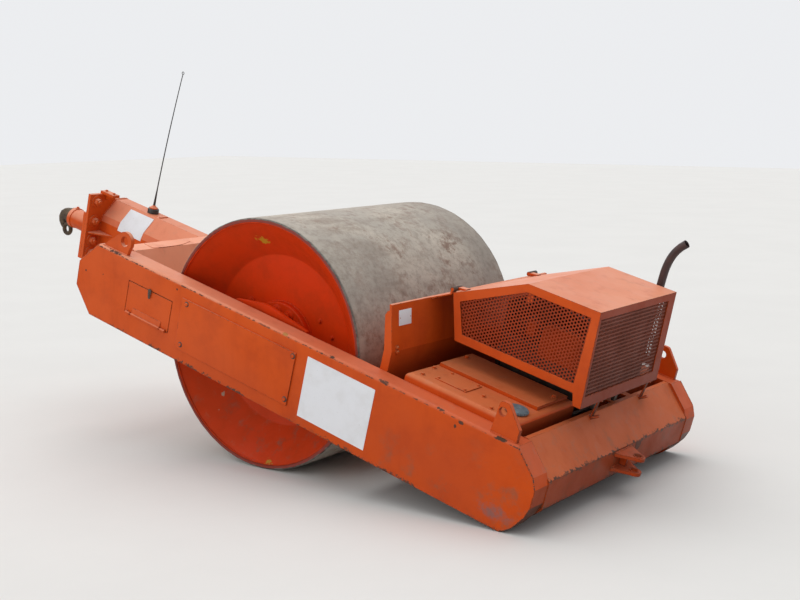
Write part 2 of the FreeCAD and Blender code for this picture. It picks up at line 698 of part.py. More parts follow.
# Rear cross beam and hitch
def tail_outline():
    return [
        ("tail_front", "beam_top"),
        ("rear_top", "beam_top"),
        ("rear_tip", "beam_high"),
        ("rear_tip", "beam_low"),
        ("rear_bottom", "beam_bottom"),
        ("tail_front", "beam_bottom"),
    ]


def rear_beam():
    body = new_piece("rear_beam")
    pad(body, "XZ_Plane", "-" + BEAM_IN, BEAM_IN, tail_outline())
    for side in ("left", "right"):
        middle = "tongue_" + side
        tongue = rectangle("tail_front - bite", "tongue_end",
                           middle + " - tongue_half", middle + " + tongue_half")
        pad(body, "XY_Plane", "beam_top - tongue_thick", "beam_top", tongue)


def rear_clevis():
    body = new_piece("rear_clevis")
    plate = [
        ("rear_tip", "-clevis_half"),
        ("rear_tip", "clevis_half"),
        ("clevis_u - bite", "clevis_tip"),
        ("clevis_u - bite", "-clevis_tip"),
    ]
    web = rectangle("rear_tip - clevis_web", "rear_tip", "clevis_lower", "clevis_upper")
    pad(body, "XZ_Plane", "-clevis_web_half", "clevis_web_half", web)
    for low, high in (("clevis_upper", "clevis_upper + clevis_plate"),
                      ("clevis_lower - clevis_plate", "clevis_lower")):
        pad(body, "XY_Plane", low, high, plate)
        post(body, "XY_Plane", low, high, ("clevis_u", "0"), "clevis_tip")
        bore(body, "XY_Plane", low, high, ("clevis_u", "0"), "clevis_hole")


# Engine bay
def bulkhead():
    body = new_piece("bulkhead")
    front = "(wall_back + wall_thick)"
    wall = [
        ("wall_back", "wall_low"),
        (front, "wall_low"),
        (front, "wall_bend"),
        ("wall_crest + wall_thick", "wall_top"),
        ("wall_crest", "wall_top"),
        ("wall_back", "wall_bend"),
    ]
    pad(body, "XZ_Plane", "-" + BEAM_IN, BEAM_IN, wall)
    lean = "(wall_crest - wall_back) / (wall_top - wall_bend)"
    wing = [
        ("wall_back + bite", "wing_low"),
        ("wing_front", "wing_low"),
        ("wing_front", "wall_bend"),
        ("wing_nose", "wing_high"),
        ("wing_brow", "wing_brow_w"),
        ("wall_back + bite + (wing_top - wall_bend) * " + lean, "wing_top"),
        ("wall_back + bite", "wall_bend"),
    ]
    for side in ("left", "right"):
        low, high = sided(side, BEAM_IN + " - wall_thick", BEAM_IN)
        pad(body, "XZ_Plane", low, high, wing)
    cowl = [
        ("cowl_rear", COWL_UP + " - cowl_thick"),
        ("cowl_rear", COWL_UP),
        ("wall_crest", "wall_top"),
        ("wall_crest + bite", "wall_top"),
        ("wall_crest + bite", "wall_top - cowl_thick"),
    ]
    pad(body, "XZ_Plane", "-hood_half", "hood_half", cowl)
    for side in ("left", "right"):
        low, high = sided(side, "hinge_y + hinge_gap", "hinge_y + hinge_gap + hinge_long")
        post(body, "XZ_Plane", low, high, ("hinge_u", HINGE_UP), "hinge_radius")
        block = [
            ("cowl_rear", COWL_UP + " - cowl_thick"),
            ("cowl_rear + wall_thick", COWL_UP + " - 2 * cowl_thick"),
            ("cowl_rear + wall_thick", HINGE_UP),
            ("hinge_u", HINGE_UP),
        ]
        pad(body, "XZ_Plane", low, high, block)
        low, high = sided(side, "hinge_y - hinge_gap - hinge_long", "hinge_y + hinge_gap + bite")
        post(body, "XZ_Plane", low, high, ("hinge_u", HINGE_UP), "hinge_pin")


def belly_plate():
    body = new_piece("belly_plate")
    plate = rectangle("tail_front", "wall_back + wall_thick", "-" + BEAM_IN, BEAM_IN)
    pad(body, "XY_Plane", "wall_low - pan_thick", "wall_low", plate)


def engine():
    body = new_piece("engine")
    block = rectangle("engine_rear", "engine_front", "-engine_half", "engine_half")
    pad(body, "XY_Plane", "wall_low", "engine_top", block)


def tank(side):
    body = new_piece("tank_" + side)
    low, high = sided(side, "tank_inner", BEAM_IN)
    pad(body, "YZ_Plane", "tank_rear", "tank_front", rectangle(low, high, "wall_low", "tank_top"))
    top = size("tank_top")

    def top_edge(middle, along):
        return abs(middle.z - top) < 1
    round_edges(body, "tank_round", top_edge)


def tank_lid(side):
    body = new_piece("tank_lid_" + side)
    low, high = sided(side, "lid_inner", BEAM_IN + " - lid_outer")
    plate = rectangle("lid_rear", "lid_front", low, high)
    pad(body, "XY_Plane", "tank_top", "tank_top + lid_thick", plate)


def filler_cap():
    body = new_piece("filler_cap")
    centre = ("cap_u", BEAM_IN + " - cap_edge")
    rim = "tank_top + neck_high"
    post(body, "XY_Plane", "tank_top", rim, centre, "cap_radius * %s" % FAR)
    post(body, "XY_Plane", rim, rim + " + cap_high", centre, "cap_radius")


def exhaust():
    """A bent pipe, so its route is one wire and the shape is set here from the sheet's sizes."""
    across = size("pipe_y - " + BEAM_IN)
    foot = FreeCAD.Vector(size("pipe_u"), across, size("tank_top"))
    knee = FreeCAD.Vector(size("pipe_u"), across, size("pipe_turn"))
    end = FreeCAD.Vector(size("pipe_back"), across, size("pipe_top"))
    away = (end - knee).normalize()
    half_turn = away.getAngle(FreeCAD.Vector(0, 0, 1)) / 2
    back = size("pipe_radius * pipe_bend") * math.tan(half_turn) + size("pipe_radius")
    bend_start = knee - FreeCAD.Vector(0, 0, back)
    bend_end = knee + away * back
    centre = bend_start + FreeCAD.Vector(-back / math.tan(half_turn), 0, 0)
    middle = centre + (knee - centre).normalize() * (back / math.tan(half_turn))
    route = Part.Wire([
        Part.LineSegment(foot, bend_start).toShape(),
        Part.Arc(bend_start, middle, bend_end).toShape(),
        Part.LineSegment(bend_end, end).toShape(),
    ])
    solids = []
    for radius in (size("pipe_radius"), size("pipe_radius - pipe_wall")):
        ring = Part.Wire([Part.makeCircle(radius, foot)])
        solids.append(route.makePipeShell([ring], True, False))
    # A level cut across the pipe's end
    reach = 4 * size("pipe_radius")
    slash = Part.makeBox(2 * reach, 2 * reach, reach, end - FreeCAD.Vector(reach, reach, 0))
    piece = doc.addObject("Part::Feature", "exhaust_pipe")
    piece.Label = "exhaust_pipe"
    piece.Shape = solids[0].cut(solids[1]).cut(slash)
    pieces.append(piece)


def aerial():
    body = new_piece("aerial_base")
    post(body, "XY_Plane", "crown_w", "crown_w + whip_foot", ("whip_u", "0"), "whip_radius")
    foot = "crown_w + whip_foot + whip_collar"
    post(body, "XY_Plane", "crown_w + whip_foot", foot, ("whip_u", "0"), "whip_collar_radius")
    rod = new_piece("aerial_rod")
    outline = [
        ("whip_u - whip_rod", foot),
        ("whip_u + whip_rod", foot),
        ("whip_u + whip_back + whip_rod", "whip_top"),
        ("whip_u + whip_back - whip_rod", "whip_top"),
    ]
    pad(rod, "XZ_Plane", "-whip_rod", "whip_rod", outline)


# Hood
def hood_frame():
    body = new_piece("hood_frame")
    outline = [
        ("hood_front", "hood_front_w"),
        ("hood_peak", "hood_top"),
        ("hood_rear", "hood_top"),
        ("hood_foot", "hood_post"),
        ("hood_toe", "hood_post"),
        ("hood_heel", "hood_low"),
        ("hood_chin", "hood_low"),
    ]
    pad(body, "XZ_Plane", "-hood_half", "hood_half", outline)
    slope = "(hood_top - hood_front_w) / (hood_front - hood_peak)"
    # The hollow leaves the roof, the rear panel and the inward fold along the panel's foot
    hollow = [
        ("hood_front + past", "hood_front_w - past * %s - 1.1 * hood_wall" % slope),
        ("hood_peak", "hood_top - hood_wall"),
        ("hood_rear + hood_wall", "hood_top - hood_wall"),
        ("hood_foot + hood_wall", "hood_post + hood_wall"),
        ("hood_heel + past", "hood_post + hood_wall"),
        ("hood_heel + past", "hood_low - past"),
        ("hood_front + past", "hood_low - past"),
    ]
    cut(body, "XZ_Plane", "-hood_half + hood_wall", "hood_half - hood_wall", hollow)
    for side in ("left", "right"):
        low, high = sided(side, "hood_half - hood_wall", "hood_half")
        cut(body, "XZ_Plane", low, high, side_window())
    rear_window = rectangle("screen_right", "screen_left", "screen_low", "screen_top")
    cut(body, "YZ_Plane", "hood_foot - past", "hood_rear + past", rear_window)
    for side in ("left", "right"):
        low, high = sided(side, "hinge_y - hinge_gap - hinge_long", "hinge_y - hinge_gap")
        post(body, "XZ_Plane", low, high, ("hinge_u", HINGE_UP), "hinge_radius")
        back = "hood_front_w + hinge_strap * %s" % slope
        strap = [
            ("hinge_u - hinge_pin - bite", HINGE_UP + " - hinge_pin"),
            ("hood_front - hinge_strap", back + " - bite"),
            ("hood_front - hinge_strap", back + " + strap_rise"),
            ("hinge_u - bite", HINGE_UP + " + hinge_radius - bite"),
        ]
        pad(body, "XZ_Plane", low, high, strap)
        bore(body, "XZ_Plane", low, high, ("hinge_u", HINGE_UP), "hinge_pin + pin_fit")


def side_window():
    return [
        ("window_front", "window_front_w"),
        ("window_peak", "hood_top - hood_rail"),
        ("hood_rear + hood_rail", "hood_top - hood_rail"),
        ("window_foot", "window_low"),
        ("window_chin", "window_low"),
    ]


def hood_mesh_side(side):
    body = new_piece("hood_mesh_" + side)
    low, high = sided(side, "hood_half - hood_wall", "hood_half - hood_wall + mesh_thick")
    pad(body, "XZ_Plane", low, high, side_window())


def hood_mesh_rear():
    body = new_piece("hood_mesh_rear")
    lean = "(hood_foot - hood_rear) / (hood_top - hood_post)"
    low_u = "(hood_rear + (hood_top - screen_low) * %s)" % lean
    high_u = "(hood_rear + (hood_top - screen_top) * %s)" % lean
    sheet_outline = [
        (low_u, "screen_low"),
        (low_u + " + mesh_thick", "screen_low"),
        (high_u + " + mesh_thick", "screen_top"),
        (high_u, "screen_top"),
    ]
    pad(body, "XZ_Plane", "screen_right", "screen_left", sheet_outline)


def hood_rest(side):
    body = new_piece("hood_rest_" + side)
    middle = "rest_" + side
    slope = "(beam_top - beam_high) / (rear_top - rear_tip)"
    upright = [
        ("rest_foot - rest_deep", "beam_top - (rear_top - rest_foot + rest_deep) * " + slope),
        ("rest_foot + rest_deep", "beam_top - (rear_top - rest_foot - rest_deep) * " + slope),
        ("rest_head + rest_deep", "hood_post - rest_gap"),
        ("rest_head - rest_deep", "hood_post - rest_gap"),
    ]
    pad(body, "XZ_Plane", middle + " - rest_half", middle + " + rest_half", upright)


drum_shell()
for side in ("left", "right"):
    drum_head(side)
    hub(side)
    bearing_bracket(side)
    rubber_mounts(side)
    side_beam(side)
    hatch_door(side)
    bearing_cover(side)
    front_lug(side)
    rear_lug(side)
    tank(side)
    tank_lid(side)
    hood_mesh_side(side)
    hood_rest(side)
front_beam()
nose()
nose_flange()
coupling_plate()
coupling_tube()
tow_eye()
hose_bracket()
rear_beam()
rear_clevis()
bulkhead()
belly_plate()
engine()
filler_cap()
exhaust()
aerial()
hood_frame()
hood_mesh_rear()
doc.recompute()


# The parked pose: the tail's lower edge and the drum both touch the ground
def parked_tilt():
    reach = math.hypot(size("rear_bottom"), size("beam_bottom"))
    drop = math.atan2(-size("beam_bottom"), -size("rear_bottom"))
    return math.asin(size("drum_radius") / reach) - drop


def place(along):
    spin = FreeCAD.Rotation(FreeCAD.Vector(0, 1, 0), -math.degrees(parked_tilt()))
    for piece in pieces:
        piece.Placement = FreeCAD.Placement(FreeCAD.Vector(along, 0, size("drum_radius")), spin)


place(0)
doc.recompute()
boxes = [piece.Shape.optimalBoundingBox(False) for piece in pieces]
along = -(min(box.XMin for box in boxes) + max(box.XMax for box in boxes)) / 2
place(along)
doc.recompute()

for item in doc.Objects:
    if "Invalid" in item.State or "Error" in item.State:
        raise RuntimeError("%s (%s) did not rebuild: %s" % (item.Name, item.Label, item.State))
os.makedirs("parts", exist_ok=True)
for piece in pieces:
    shape = piece.Shape
    if shape.isNull() or not shape.isValid():
        raise RuntimeError(piece.Label + " has no valid shape")
    shape.exportStep("parts/%s.step" % piece.Label)
print("pieces", len(pieces), "tilt", math.degrees(parked_tilt()), "axle at", along, size("drum_radius"))
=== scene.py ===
"""Looks of the towed road roller: finishes for its solids, and the fine pieces that they leave out.

Sizes are in millimetres in the machine's own axes, u forward, y left and w up, measured from the
drum's axle. The parked machine leans nose up, so every piece is turned into the frame as it is made.
"""
import json
import math

import bmesh
import bpy
from bpy.props import FloatProperty, FloatVectorProperty, IntProperty, PointerProperty
from mathutils import Matrix, Vector, noise


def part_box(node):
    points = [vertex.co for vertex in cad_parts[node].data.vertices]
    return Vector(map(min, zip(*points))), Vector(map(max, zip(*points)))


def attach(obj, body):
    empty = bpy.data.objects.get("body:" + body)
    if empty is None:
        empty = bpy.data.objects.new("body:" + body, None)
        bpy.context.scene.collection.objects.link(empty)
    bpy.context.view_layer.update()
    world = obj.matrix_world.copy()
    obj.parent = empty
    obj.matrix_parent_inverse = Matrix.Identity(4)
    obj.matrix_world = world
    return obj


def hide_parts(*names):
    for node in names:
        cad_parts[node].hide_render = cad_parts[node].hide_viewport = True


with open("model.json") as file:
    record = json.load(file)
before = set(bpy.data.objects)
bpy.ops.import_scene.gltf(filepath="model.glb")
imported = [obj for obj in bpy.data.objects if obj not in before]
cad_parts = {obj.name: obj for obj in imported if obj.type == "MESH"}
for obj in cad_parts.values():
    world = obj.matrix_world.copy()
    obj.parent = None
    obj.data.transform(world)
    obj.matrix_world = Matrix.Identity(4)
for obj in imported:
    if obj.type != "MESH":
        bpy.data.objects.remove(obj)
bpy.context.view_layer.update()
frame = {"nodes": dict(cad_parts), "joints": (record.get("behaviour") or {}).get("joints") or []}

bl_info = {
    "name": "Towed Road Roller",
    "version": (1, 0, 0),
    "blender": (4, 5, 0),
    "location": "View3D > Sidebar > Roller",
    "description": "Dresses the packed road roller with finishes, grilles, welds and fittings",
    "category": "Object",
}

# The machine's axes, read from the packed frame
SWIVEL = next(joint for joint in frame["joints"] if joint["name"] == "tow_eye_swivel")
AHEAD = Vector(SWIVEL["axis"]).normalized()
UP = Vector((-AHEAD.z, 0, AHEAD.x))
DRUM_LOW, DRUM_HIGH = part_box("drum_shell")
AXLE = (DRUM_LOW + DRUM_HIGH) / 2
TILT = math.atan2(AHEAD.z, AHEAD.x)
MM = 0.001
MACHINE = Matrix((
    (AHEAD.x * MM, 0, UP.x * MM, AXLE.x),
    (0, MM, 0, 0),
    (AHEAD.z * MM, 0, UP.z * MM, AXLE.z),
    (0, 0, 0, 1),
))

# Sizes that the solids have too, in millimetres
# Side beams: faces across, heights of their edges, ends of their flat tops, and tips
BEAM_IN, BEAM_OUT = 828, 960
BEAM_TOP, BEAM_HIGH, BEAM_LOW, BEAM_BOTTOM = 212, 48, -110, -262
FRONT_TOP, FRONT_TIP, REAR_TOP, REAR_TIP = 1297, 1452, -1860, -2034
# Bends of the side beams' rear end caps, u and w, and how far the stretches between them have rusted
END_CAP = ((-1884, 209), (-2006, 91), (-2031, 34), (-2031, -66), (-2010, -129), (-1956, -212), (-1912, -248))
CAP_RUST = {0: 0.25, 1: 0.2, 3: 0.1, 4: 0.0}
# Cover plates and doors on the side beams; lifting lugs, and both ends of their feet
COVER_FACE = BEAM_OUT + 8
LUG_INSET, LUG_THICK = 20, 25
LUG_FEET = ((1055, 1278), (REAR_TOP, -1700))
# Front cross beam: from its top's rear edge round to its foot, u and w, and its low rear wall
FRONT_BEAM = ((1120, BEAM_TOP), (1225, BEAM_TOP), (1385, BEAM_HIGH), (1385, BEAM_LOW), (1225, BEAM_BOTTOM))
FRONT_BEAM_BACK, FRONT_BEAM_STEP = 905, -42
# Drawbar: its flange's rear face, thin upper face and thick lower face, its top, and the tube's axis
FLANGE_BACK, FLANGE_UPPER, FLANGE_FACE = 2190, 2215, 2240
NOSE_TOP, TUBE_W = 172, -118
# Drum with its dished ends, and hubs
DRUM = {"radius": 750, "half": 800, "wall": 25, "disc": 520, "disc_y": 600, "plate": 20, "lip": 5}
HUB = {"radius": 237, "plate": 40, "boss": 110, "boss_end": 740, "axle": 60, "axle_end": 808}
# Bulkhead's rear face below its bend, the bend, and its top edge
WALL_BACK, WALL_BEND, WALL_CREST, WALL_TOP = -943, 326, -879, 577
TANK_TOP, LID_TOP, HOOD_HALF = 260, 280, 459
# Ends of the tool box doors along; bolts of hubs and buffers, width across the flats
DOOR_REAR, DOOR_FRONT, HUB_BOLT = 600, 975, 36
# How deep a fitting is sunk into what it stands on
SUNK = 0.5
SIDES = ((1, "left"), (-1, "right"))
U_AXIS, Y_AXIS, W_AXIS = (1, 0, 0), (0, 1, 0), (0, 0, 1)


# Properties

class RollerColours(bpy.types.PropertyGroup):
    """Colours of the machine's finishes"""
    paint: FloatVectorProperty(
        name="Paint", description="Orange paint on upright plates",
        subtype="COLOR", size=3, min=0, max=1, default=(0.63, 0.08, 0.004))
    # Faded paint is also a painted sheen: laid over faces turned up, it lightens them as the sky's light
    # would
    faded_and_sheen: FloatVectorProperty(
        name="Faded paint", description="Orange paint where the sky has bleached it",
        subtype="COLOR", size=3, min=0, max=1, default=(0.78, 0.31, 0.185))
    shaded: FloatVectorProperty(
        name="Dark paint", description="Older, browner patches of the orange paint",
        subtype="COLOR", size=3, min=0, max=1, default=(0.38, 0.036, 0.004))
    drum_end: FloatVectorProperty(
        name="Drum end paint", description="Red-orange paint inside the drum's ends",
        subtype="COLOR", size=3, min=0, max=1, default=(0.72, 0.046, 0.004))
    steel: FloatVectorProperty(
        name="Drum steel", description="Worn, dusty steel of the drum's skin",
        subtype="COLOR", size=3, min=0, max=1, default=(0.36, 0.32, 0.27))
    iron: FloatVectorProperty(
        name="Iron", description="Dark castings and forgings",
        subtype="COLOR", size=3, min=0, max=1, default=(0.05, 0.043, 0.038))
    soot: FloatVectorProperty(
        name="Exhaust steel", description="Sooty, heat-stained pipe",
        subtype="COLOR", size=3, min=0, max=1, default=(0.045, 0.028, 0.028))
    sign: FloatVectorProperty(
        name="Sign white", description="Blank signs and plates",
        subtype="COLOR", size=3, min=0, max=1, default=(0.76, 0.77, 0.8))
    cap: FloatVectorProperty(
        name="Filler cap", description="Blue-grey filler cap",
        subtype="COLOR", size=3, min=0, max=1, default=(0.13, 0.18, 0.21))


class RollerGrilles(bpy.types.PropertyGroup):
    """Perforated sheets of the hood, in millimetres"""
    pitch: FloatProperty(
        name="Hole pitch", description="Distance between two round holes, mm",
        default=20.3, min=12, max=60)
    hole: FloatProperty(
        name="Hole radius", description="Radius of the round holes, mm",
        default=6.7, min=2, max=25)
    slot_across: FloatProperty(
        name="Slot pitch across", description="Distance between slots in a row, mm",
        default=15.0, min=8, max=60)
    slot_down: FloatProperty(
        name="Slot pitch down", description="Distance between rows of slots, mm",
        default=22.0, min=10, max=60)
    slot_wide: FloatProperty(
        name="Slot width", description="Width of one slot, mm", default=8.5, min=3, max=40)
    slot_high: FloatProperty(
        name="Slot height", description="Height of one slot, mm", default=14.5, min=3, max=50)
    sheet: FloatProperty(
        name="Sheet", description="Thickness of the perforated sheet, mm", default=2.0, min=0.5, max=5)


class RollerFastenings(bpy.types.PropertyGroup):
    """Bolts and welds, in millimetres"""
    flange_bolt: FloatProperty(
        name="Flange bolt", description="Width across the flats of the big bolts, mm",
        default=46, min=20, max=80)
    cover_bolt: FloatProperty(
        name="Cover bolt", description="Width across the flats of the cover plates' bolts, mm",
        default=21, min=8, max=50)
    small_bolt: FloatProperty(
        name="Small bolt", description="Width across the flats of the small bolts, mm",
        default=17, min=6, max=30)
    weld: FloatProperty(
        name="Weld bead", description="Half width of a weld bead, mm", default=6, min=2, max=15)
    drum_steps: IntProperty(
        name="Drum steps", description="Flats round the drum's skin", default=240, min=60, max=480)


class RollerStage(bpy.types.PropertyGroup):
    """Floor, lamps and backdrop"""
    floor: FloatVectorProperty(
        name="Floor", description="Colour of the floor",
        subtype="COLOR", size=3, min=0, max=1, default=(0.74, 0.73, 0.71))
    sky: FloatProperty(
        name="Sky strength", description="Light from all round", default=0.52, min=0, max=4)
    overhead: FloatProperty(
        name="Overhead strength", description="Strength of the wide overhead lamp",
        default=1.75, min=0, max=10)
    fill: FloatProperty(
        name="Fill strength", description="Strength of the wide lamp behind the camera",
        default=0.7, min=0, max=10)


# Mesh tools

def circle(radius, steps, phase=0.0):
    """Corners of a regular polygon about the origin."""
    return [(radius * math.cos(phase + 2 * math.pi * i / steps),
             radius * math.sin(phase + 2 * math.pi * i / steps)) for i in range(steps)]


def offset(outline, distance):
    """The closed outline moved outwards by a distance, with mitred corners."""
    count = len(outline)
    area = sum(outline[i][0] * outline[(i + 1) % count][1] - outline[(i + 1) % count][0] * outline[i][1]
               for i in range(count))
    turn = 1 if area > 0 else -1
    moved = []
    for i in range(count):
        before, here, after = (Vector(outline[j % count]) for j in (i - 1, i, i + 1))
        first = (here - before).normalized()
        second = (after - here).normalized()
        out_a = Vector((first.y, -first.x)) * turn
        out_b = Vector((second.y, -second.x)) * turn
        mitre = (out_a + out_b) / max(0.35, 1 + out_a.dot(out_b))
        moved.append(tuple(here + mitre * distance))
    return moved


def inside(point, outline):
    """Whether a point lies within a closed outline."""
    x, y = point
    found = False
    for i, (x1, y1) in enumerate(outline):
        x2, y2 = outline[i - 1]
        if (y1 > y) != (y2 > y) and x < (x2 - x1) * (y - y1) / (y2 - y1) + x1:
            found = not found
    return found


def side_plane(y):
    """Places (u, w) on an upright plane along the machine."""
    return lambda a, b, height=0.0: (a, y + height, b)


def level(a, b, height):
    """A place (u, y) at a height."""
    return (a, b, height)


# Parts of a bolt, as shares of its width across the flats
WASHER = {"radius": 0.98, "crown": 0.93, "thick": 0.12}
HEAD = {"sides": 0.52, "top": 0.62, "crown": 0.84, "thread": 0.31}


class Shape:
    """Vertices and faces of one piece, in the machine's axes and millimetres."""

    def __init__(self):
        self.points = []
        self.faces = []

    def rings(self, rings, caps=True):
        """A skin over rings that have the same number of points."""
        count, start = len(rings[0]), len(self.points)
        self.points += [tuple(point) for ring in rings for point in ring]
        last = len(self.points) - count
        for low in range(start, last, count):
            for i in range(count):
                j = (i + 1) % count
                self.faces.append((low + i, low + j, low + count + j, low + count + i))
        if caps:
            self.faces.append(tuple(reversed(range(start, start + count))))
            self.faces.append(tuple(range(last, last + count)))

    def prism(self, outline, low, high, place=level, chamfer=1.5):
        """An outline made thick between two heights, with broken edges; place sets it in the machine."""
        inner = offset(outline, -chamfer)
        stack = [(inner, low), (outline, low + chamfer), (outline, high - chamfer), (inner, high)]
        self.rings([[place(a, b, height) for a, b in ring] for ring, height in stack])

    def box(self, low, high, chamfer=2.0):
        """A block between two opposite corners."""
        outline = [(low[0], low[1]), (high[0], low[1]), (high[0], high[1]), (low[0], high[1])]
        self.prism(outline, low[2], high[2], chamfer=chamfer)

    def turned(self, profile, centre, axis, steps=48, closed=False):
        """A profile of (along, radius) turned about an axis; closed joins its ends in a ring."""
        along = Vector(axis).normalized()
        side = along.orthogonal().normalized()
        other = along.cross(side)
        centre = Vector(centre)
        rings = []
        for distance, radius in profile:
            rings.append([centre + along * distance + side * a + other * b
                          for a, b in circle(max(radius, 0.01), steps)])
        if closed:
            rings.append(rings[0])
        self.rings(rings, caps=not closed)

    def tube(self, route, radii, sides=16, caps=True, wall=0.0):
        """A round bar along a route, or a pipe if it has a wall; radii is one number or one a point."""
        route = [Vector(point) for point in route]
        if not hasattr(radii, "__len__"):
            radii = [radii] * len(route)
        side = None
        rings = []
        for i, point in enumerate(route):
            before = route[max(i - 1, 0)]
            after = route[min(i + 1, len(route) - 1)]
            along = (after - before).normalized()
            if side is None:
                side = along.orthogonal().normalized()
            side = (side - along * side.dot(along)).normalized()
            other = along.cross(side)
            rings.append([point + side * a + other * b for a, b in circle(radii[i], sides)])
        if wall:
            bores = [[point + (corner - point) * (1 - wall / (corner - point).length) for corner in ring]
                     for ring, point in zip(rings, route)]
            rings = rings + bores[::-1] + [rings[0]]
            caps = False
        self.rings(rings, caps=caps)

    def loop(self, points, radius, sides):
        """A round bar along a closed route."""
        self.tube(points + points[:1], radius, sides, caps=False)

    def bead(self, start, end, radius):
        """A weld bead from start to end, rippled as the electrode moved."""
        start, end = Vector(start), Vector(end)
        step, wave = 7, 9.0
        count = max(3, int((end - start).length / step))
        route = [start.lerp(end, i / count) for i in range(count + 1)]
        radii = []
        for i, point in enumerate(route):
            ripple = 0.12 * math.sin(i * step / wave * math.pi) + 0.25 * noise.noise(point * 0.02)
            radii.append(radius * (1 + ripple) * (0.55 if i in (0, count) else 1))
        self.tube(route, radii, sides=6)

    def beads(self, route, radius):
        """A weld bead along each stretch of a route."""
        for start, end in zip(route, route[1:]):
            self.bead(start, end, radius)

    def bolt(self, place, out, flats, washer=True, stub=0.0):
        """A hexagon head on its washer; a nut shows its stub of thread."""
        base = 0.0
        if washer:
            base, radius = flats * WASHER["thick"], flats * WASHER["radius"]
            self.turned([(0, radius), (base * 0.8, radius), (base, flats * WASHER["crown"])], place, out, 20)
        reach = flats / math.sqrt(3)
        top = base + flats * HEAD["top"]
        head = [(base, reach), (base + flats * HEAD["sides"], reach), (top, reach * HEAD["crown"])]
        self.turned(head, place, out, 6)
        if stub:
            thread = flats * HEAD["thread"]
            end = top + stub
            self.turned([(top, thread), (end - stub * 0.15, thread), (end, thread * 0.8)], place, out, 14)

    def piece(self, name, finish="paint", body="frame", replaces=(), smooth=38, slot=None):
        """The finished object: turned into the frame, shaded, and riding on its body."""
        mesh = bpy.data.meshes.new(name)
        mesh.from_pydata([tuple(MACHINE @ Vector(point)) for point in self.points], [], self.faces)
        tidy = bmesh.new()
        tidy.from_mesh(mesh)
        bmesh.ops.remove_doubles(tidy, verts=tidy.verts, dist=0.00002)
        bmesh.ops.recalc_face_normals(tidy, faces=tidy.faces)
        tidy.to_mesh(mesh)
        tidy.free()
        mesh.polygons.foreach_set("use_smooth", [True] * len(mesh.polygons))
        mesh.set_sharp_from_angle(angle=math.radians(smooth))
        mount(mesh, finish, body, replaces)


def mount(mesh, finish, body, replaces):
    """Put a finished mesh on its body, as an object of the same name."""
    mesh.materials.append(FINISHES[finish])
    made = bpy.data.objects.new(mesh.name, mesh)
    bpy.context.scene.collection.objects.link(made)
    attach(made, body)
    if replaces:
        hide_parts(*replaces)


def perforated(name, place, window, cell, hole, stagger, thickness, finish, replaced):
    """A sheet of the hood with real holes: whole cells whose middles lie in the window."""
    low_a, high_a = (pick(a for a, b in window) for pick in (min, max))
    low_b, high_b = (pick(b for a, b in window) for pick in (min, max))
    wide, high = cell
    half_a, half_b = wide / 2, high / 2
    rim = [(half_a, -half_b), (half_a, half_b), (-half_a, half_b), (-half_a, -half_b)]
    if stagger:
        # Staggered cells meet their neighbours' corners at half height
        rim = [(half_a, 0), (half_a, half_b), (-half_a, half_b), (-half_a, 0), (-half_a, -half_b),
               (half_a, -half_b)]
    share = len(hole) // len(rim)
    tidy = bmesh.new()
    for i in range(-1, int((high_a - low_a) / wide) + 2):
        for j in range(-2, int((high_b - low_b) / high) + 3):
            a = low_a + (i + 0.5) * wide
            b = low_b + (j + 0.5 + (0.5 if stagger and i % 2 else 0)) * high
            if not inside((a, b), window):
                continue
            border, edge = ([tidy.verts.new(MACHINE @ Vector(place(a + x, b + y))) for x, y in outline]
                            for outline in (rim, hole))
            for k in range(len(border)):
                after = (k + 1) % len(border)
                arc = [edge[(k * share + m) % len(edge)] for m in range(share, -1, -1)]
                tidy.faces.new([border[k], border[after]] + arc)
    bmesh.ops.remove_doubles(tidy, verts=tidy.verts, dist=0.00005)
    bmesh.ops.recalc_face_normals(tidy, faces=tidy.faces)
    bmesh.ops.solidify(tidy, geom=tidy.faces[:], thickness=thickness * MM)
    # Solidify lists the holes' walls in another order at each run, so all is sorted by its place
    for items, where in ((tidy.verts, lambda vert: tuple(vert.co)),
                         (tidy.faces, lambda face: tuple(face.calc_center_median()))):
        rank = {item: i for i, item in enumerate(sorted(items, key=where))}
        items.sort(key=rank.get)
    mesh = bpy.data.meshes.new(name)
    tidy.to_mesh(mesh)
    tidy.free()
    mount(mesh, finish, "hood", [replaced])


# Finishes

class Graph:
    """A node tree, with short calls for the usual nodes."""

    def __init__(self, tree):
        self.nodes, self.links = tree.nodes, tree.links
        self.nodes.clear()

    def feed(self, socket, value):
        """Link a node's output to the socket, or set its value."""
        if isinstance(value, bpy.types.NodeSocket):
            self.links.new(value, socket)
        elif hasattr(value, "__len__") and len(value) == 3 and socket.type == "RGBA":
            socket.default_value = (*value, 1)
        else:
            socket.default_value = value

    def node(self, kind, inputs, **settings):
        """A new node with its settings; each input gets a link or a value."""
        made = self.nodes.new(kind)
        for name, value in settings.items():
            setattr(made, name, value)
        for key, value in inputs.items():
            self.feed(made.inputs[key], value)
        return made

    def math(self, operation, first, second=0.0):
        return self.node("ShaderNodeMath", {0: first, 1: second}, operation=operation).outputs[0]

    def times(self, first, second):
        return self.math("MULTIPLY", first, second)

    def plus(self, first, second):
        return self.math("ADD", first, second)

    def minus(self, first, second):
        return self.math("SUBTRACT", first, second)


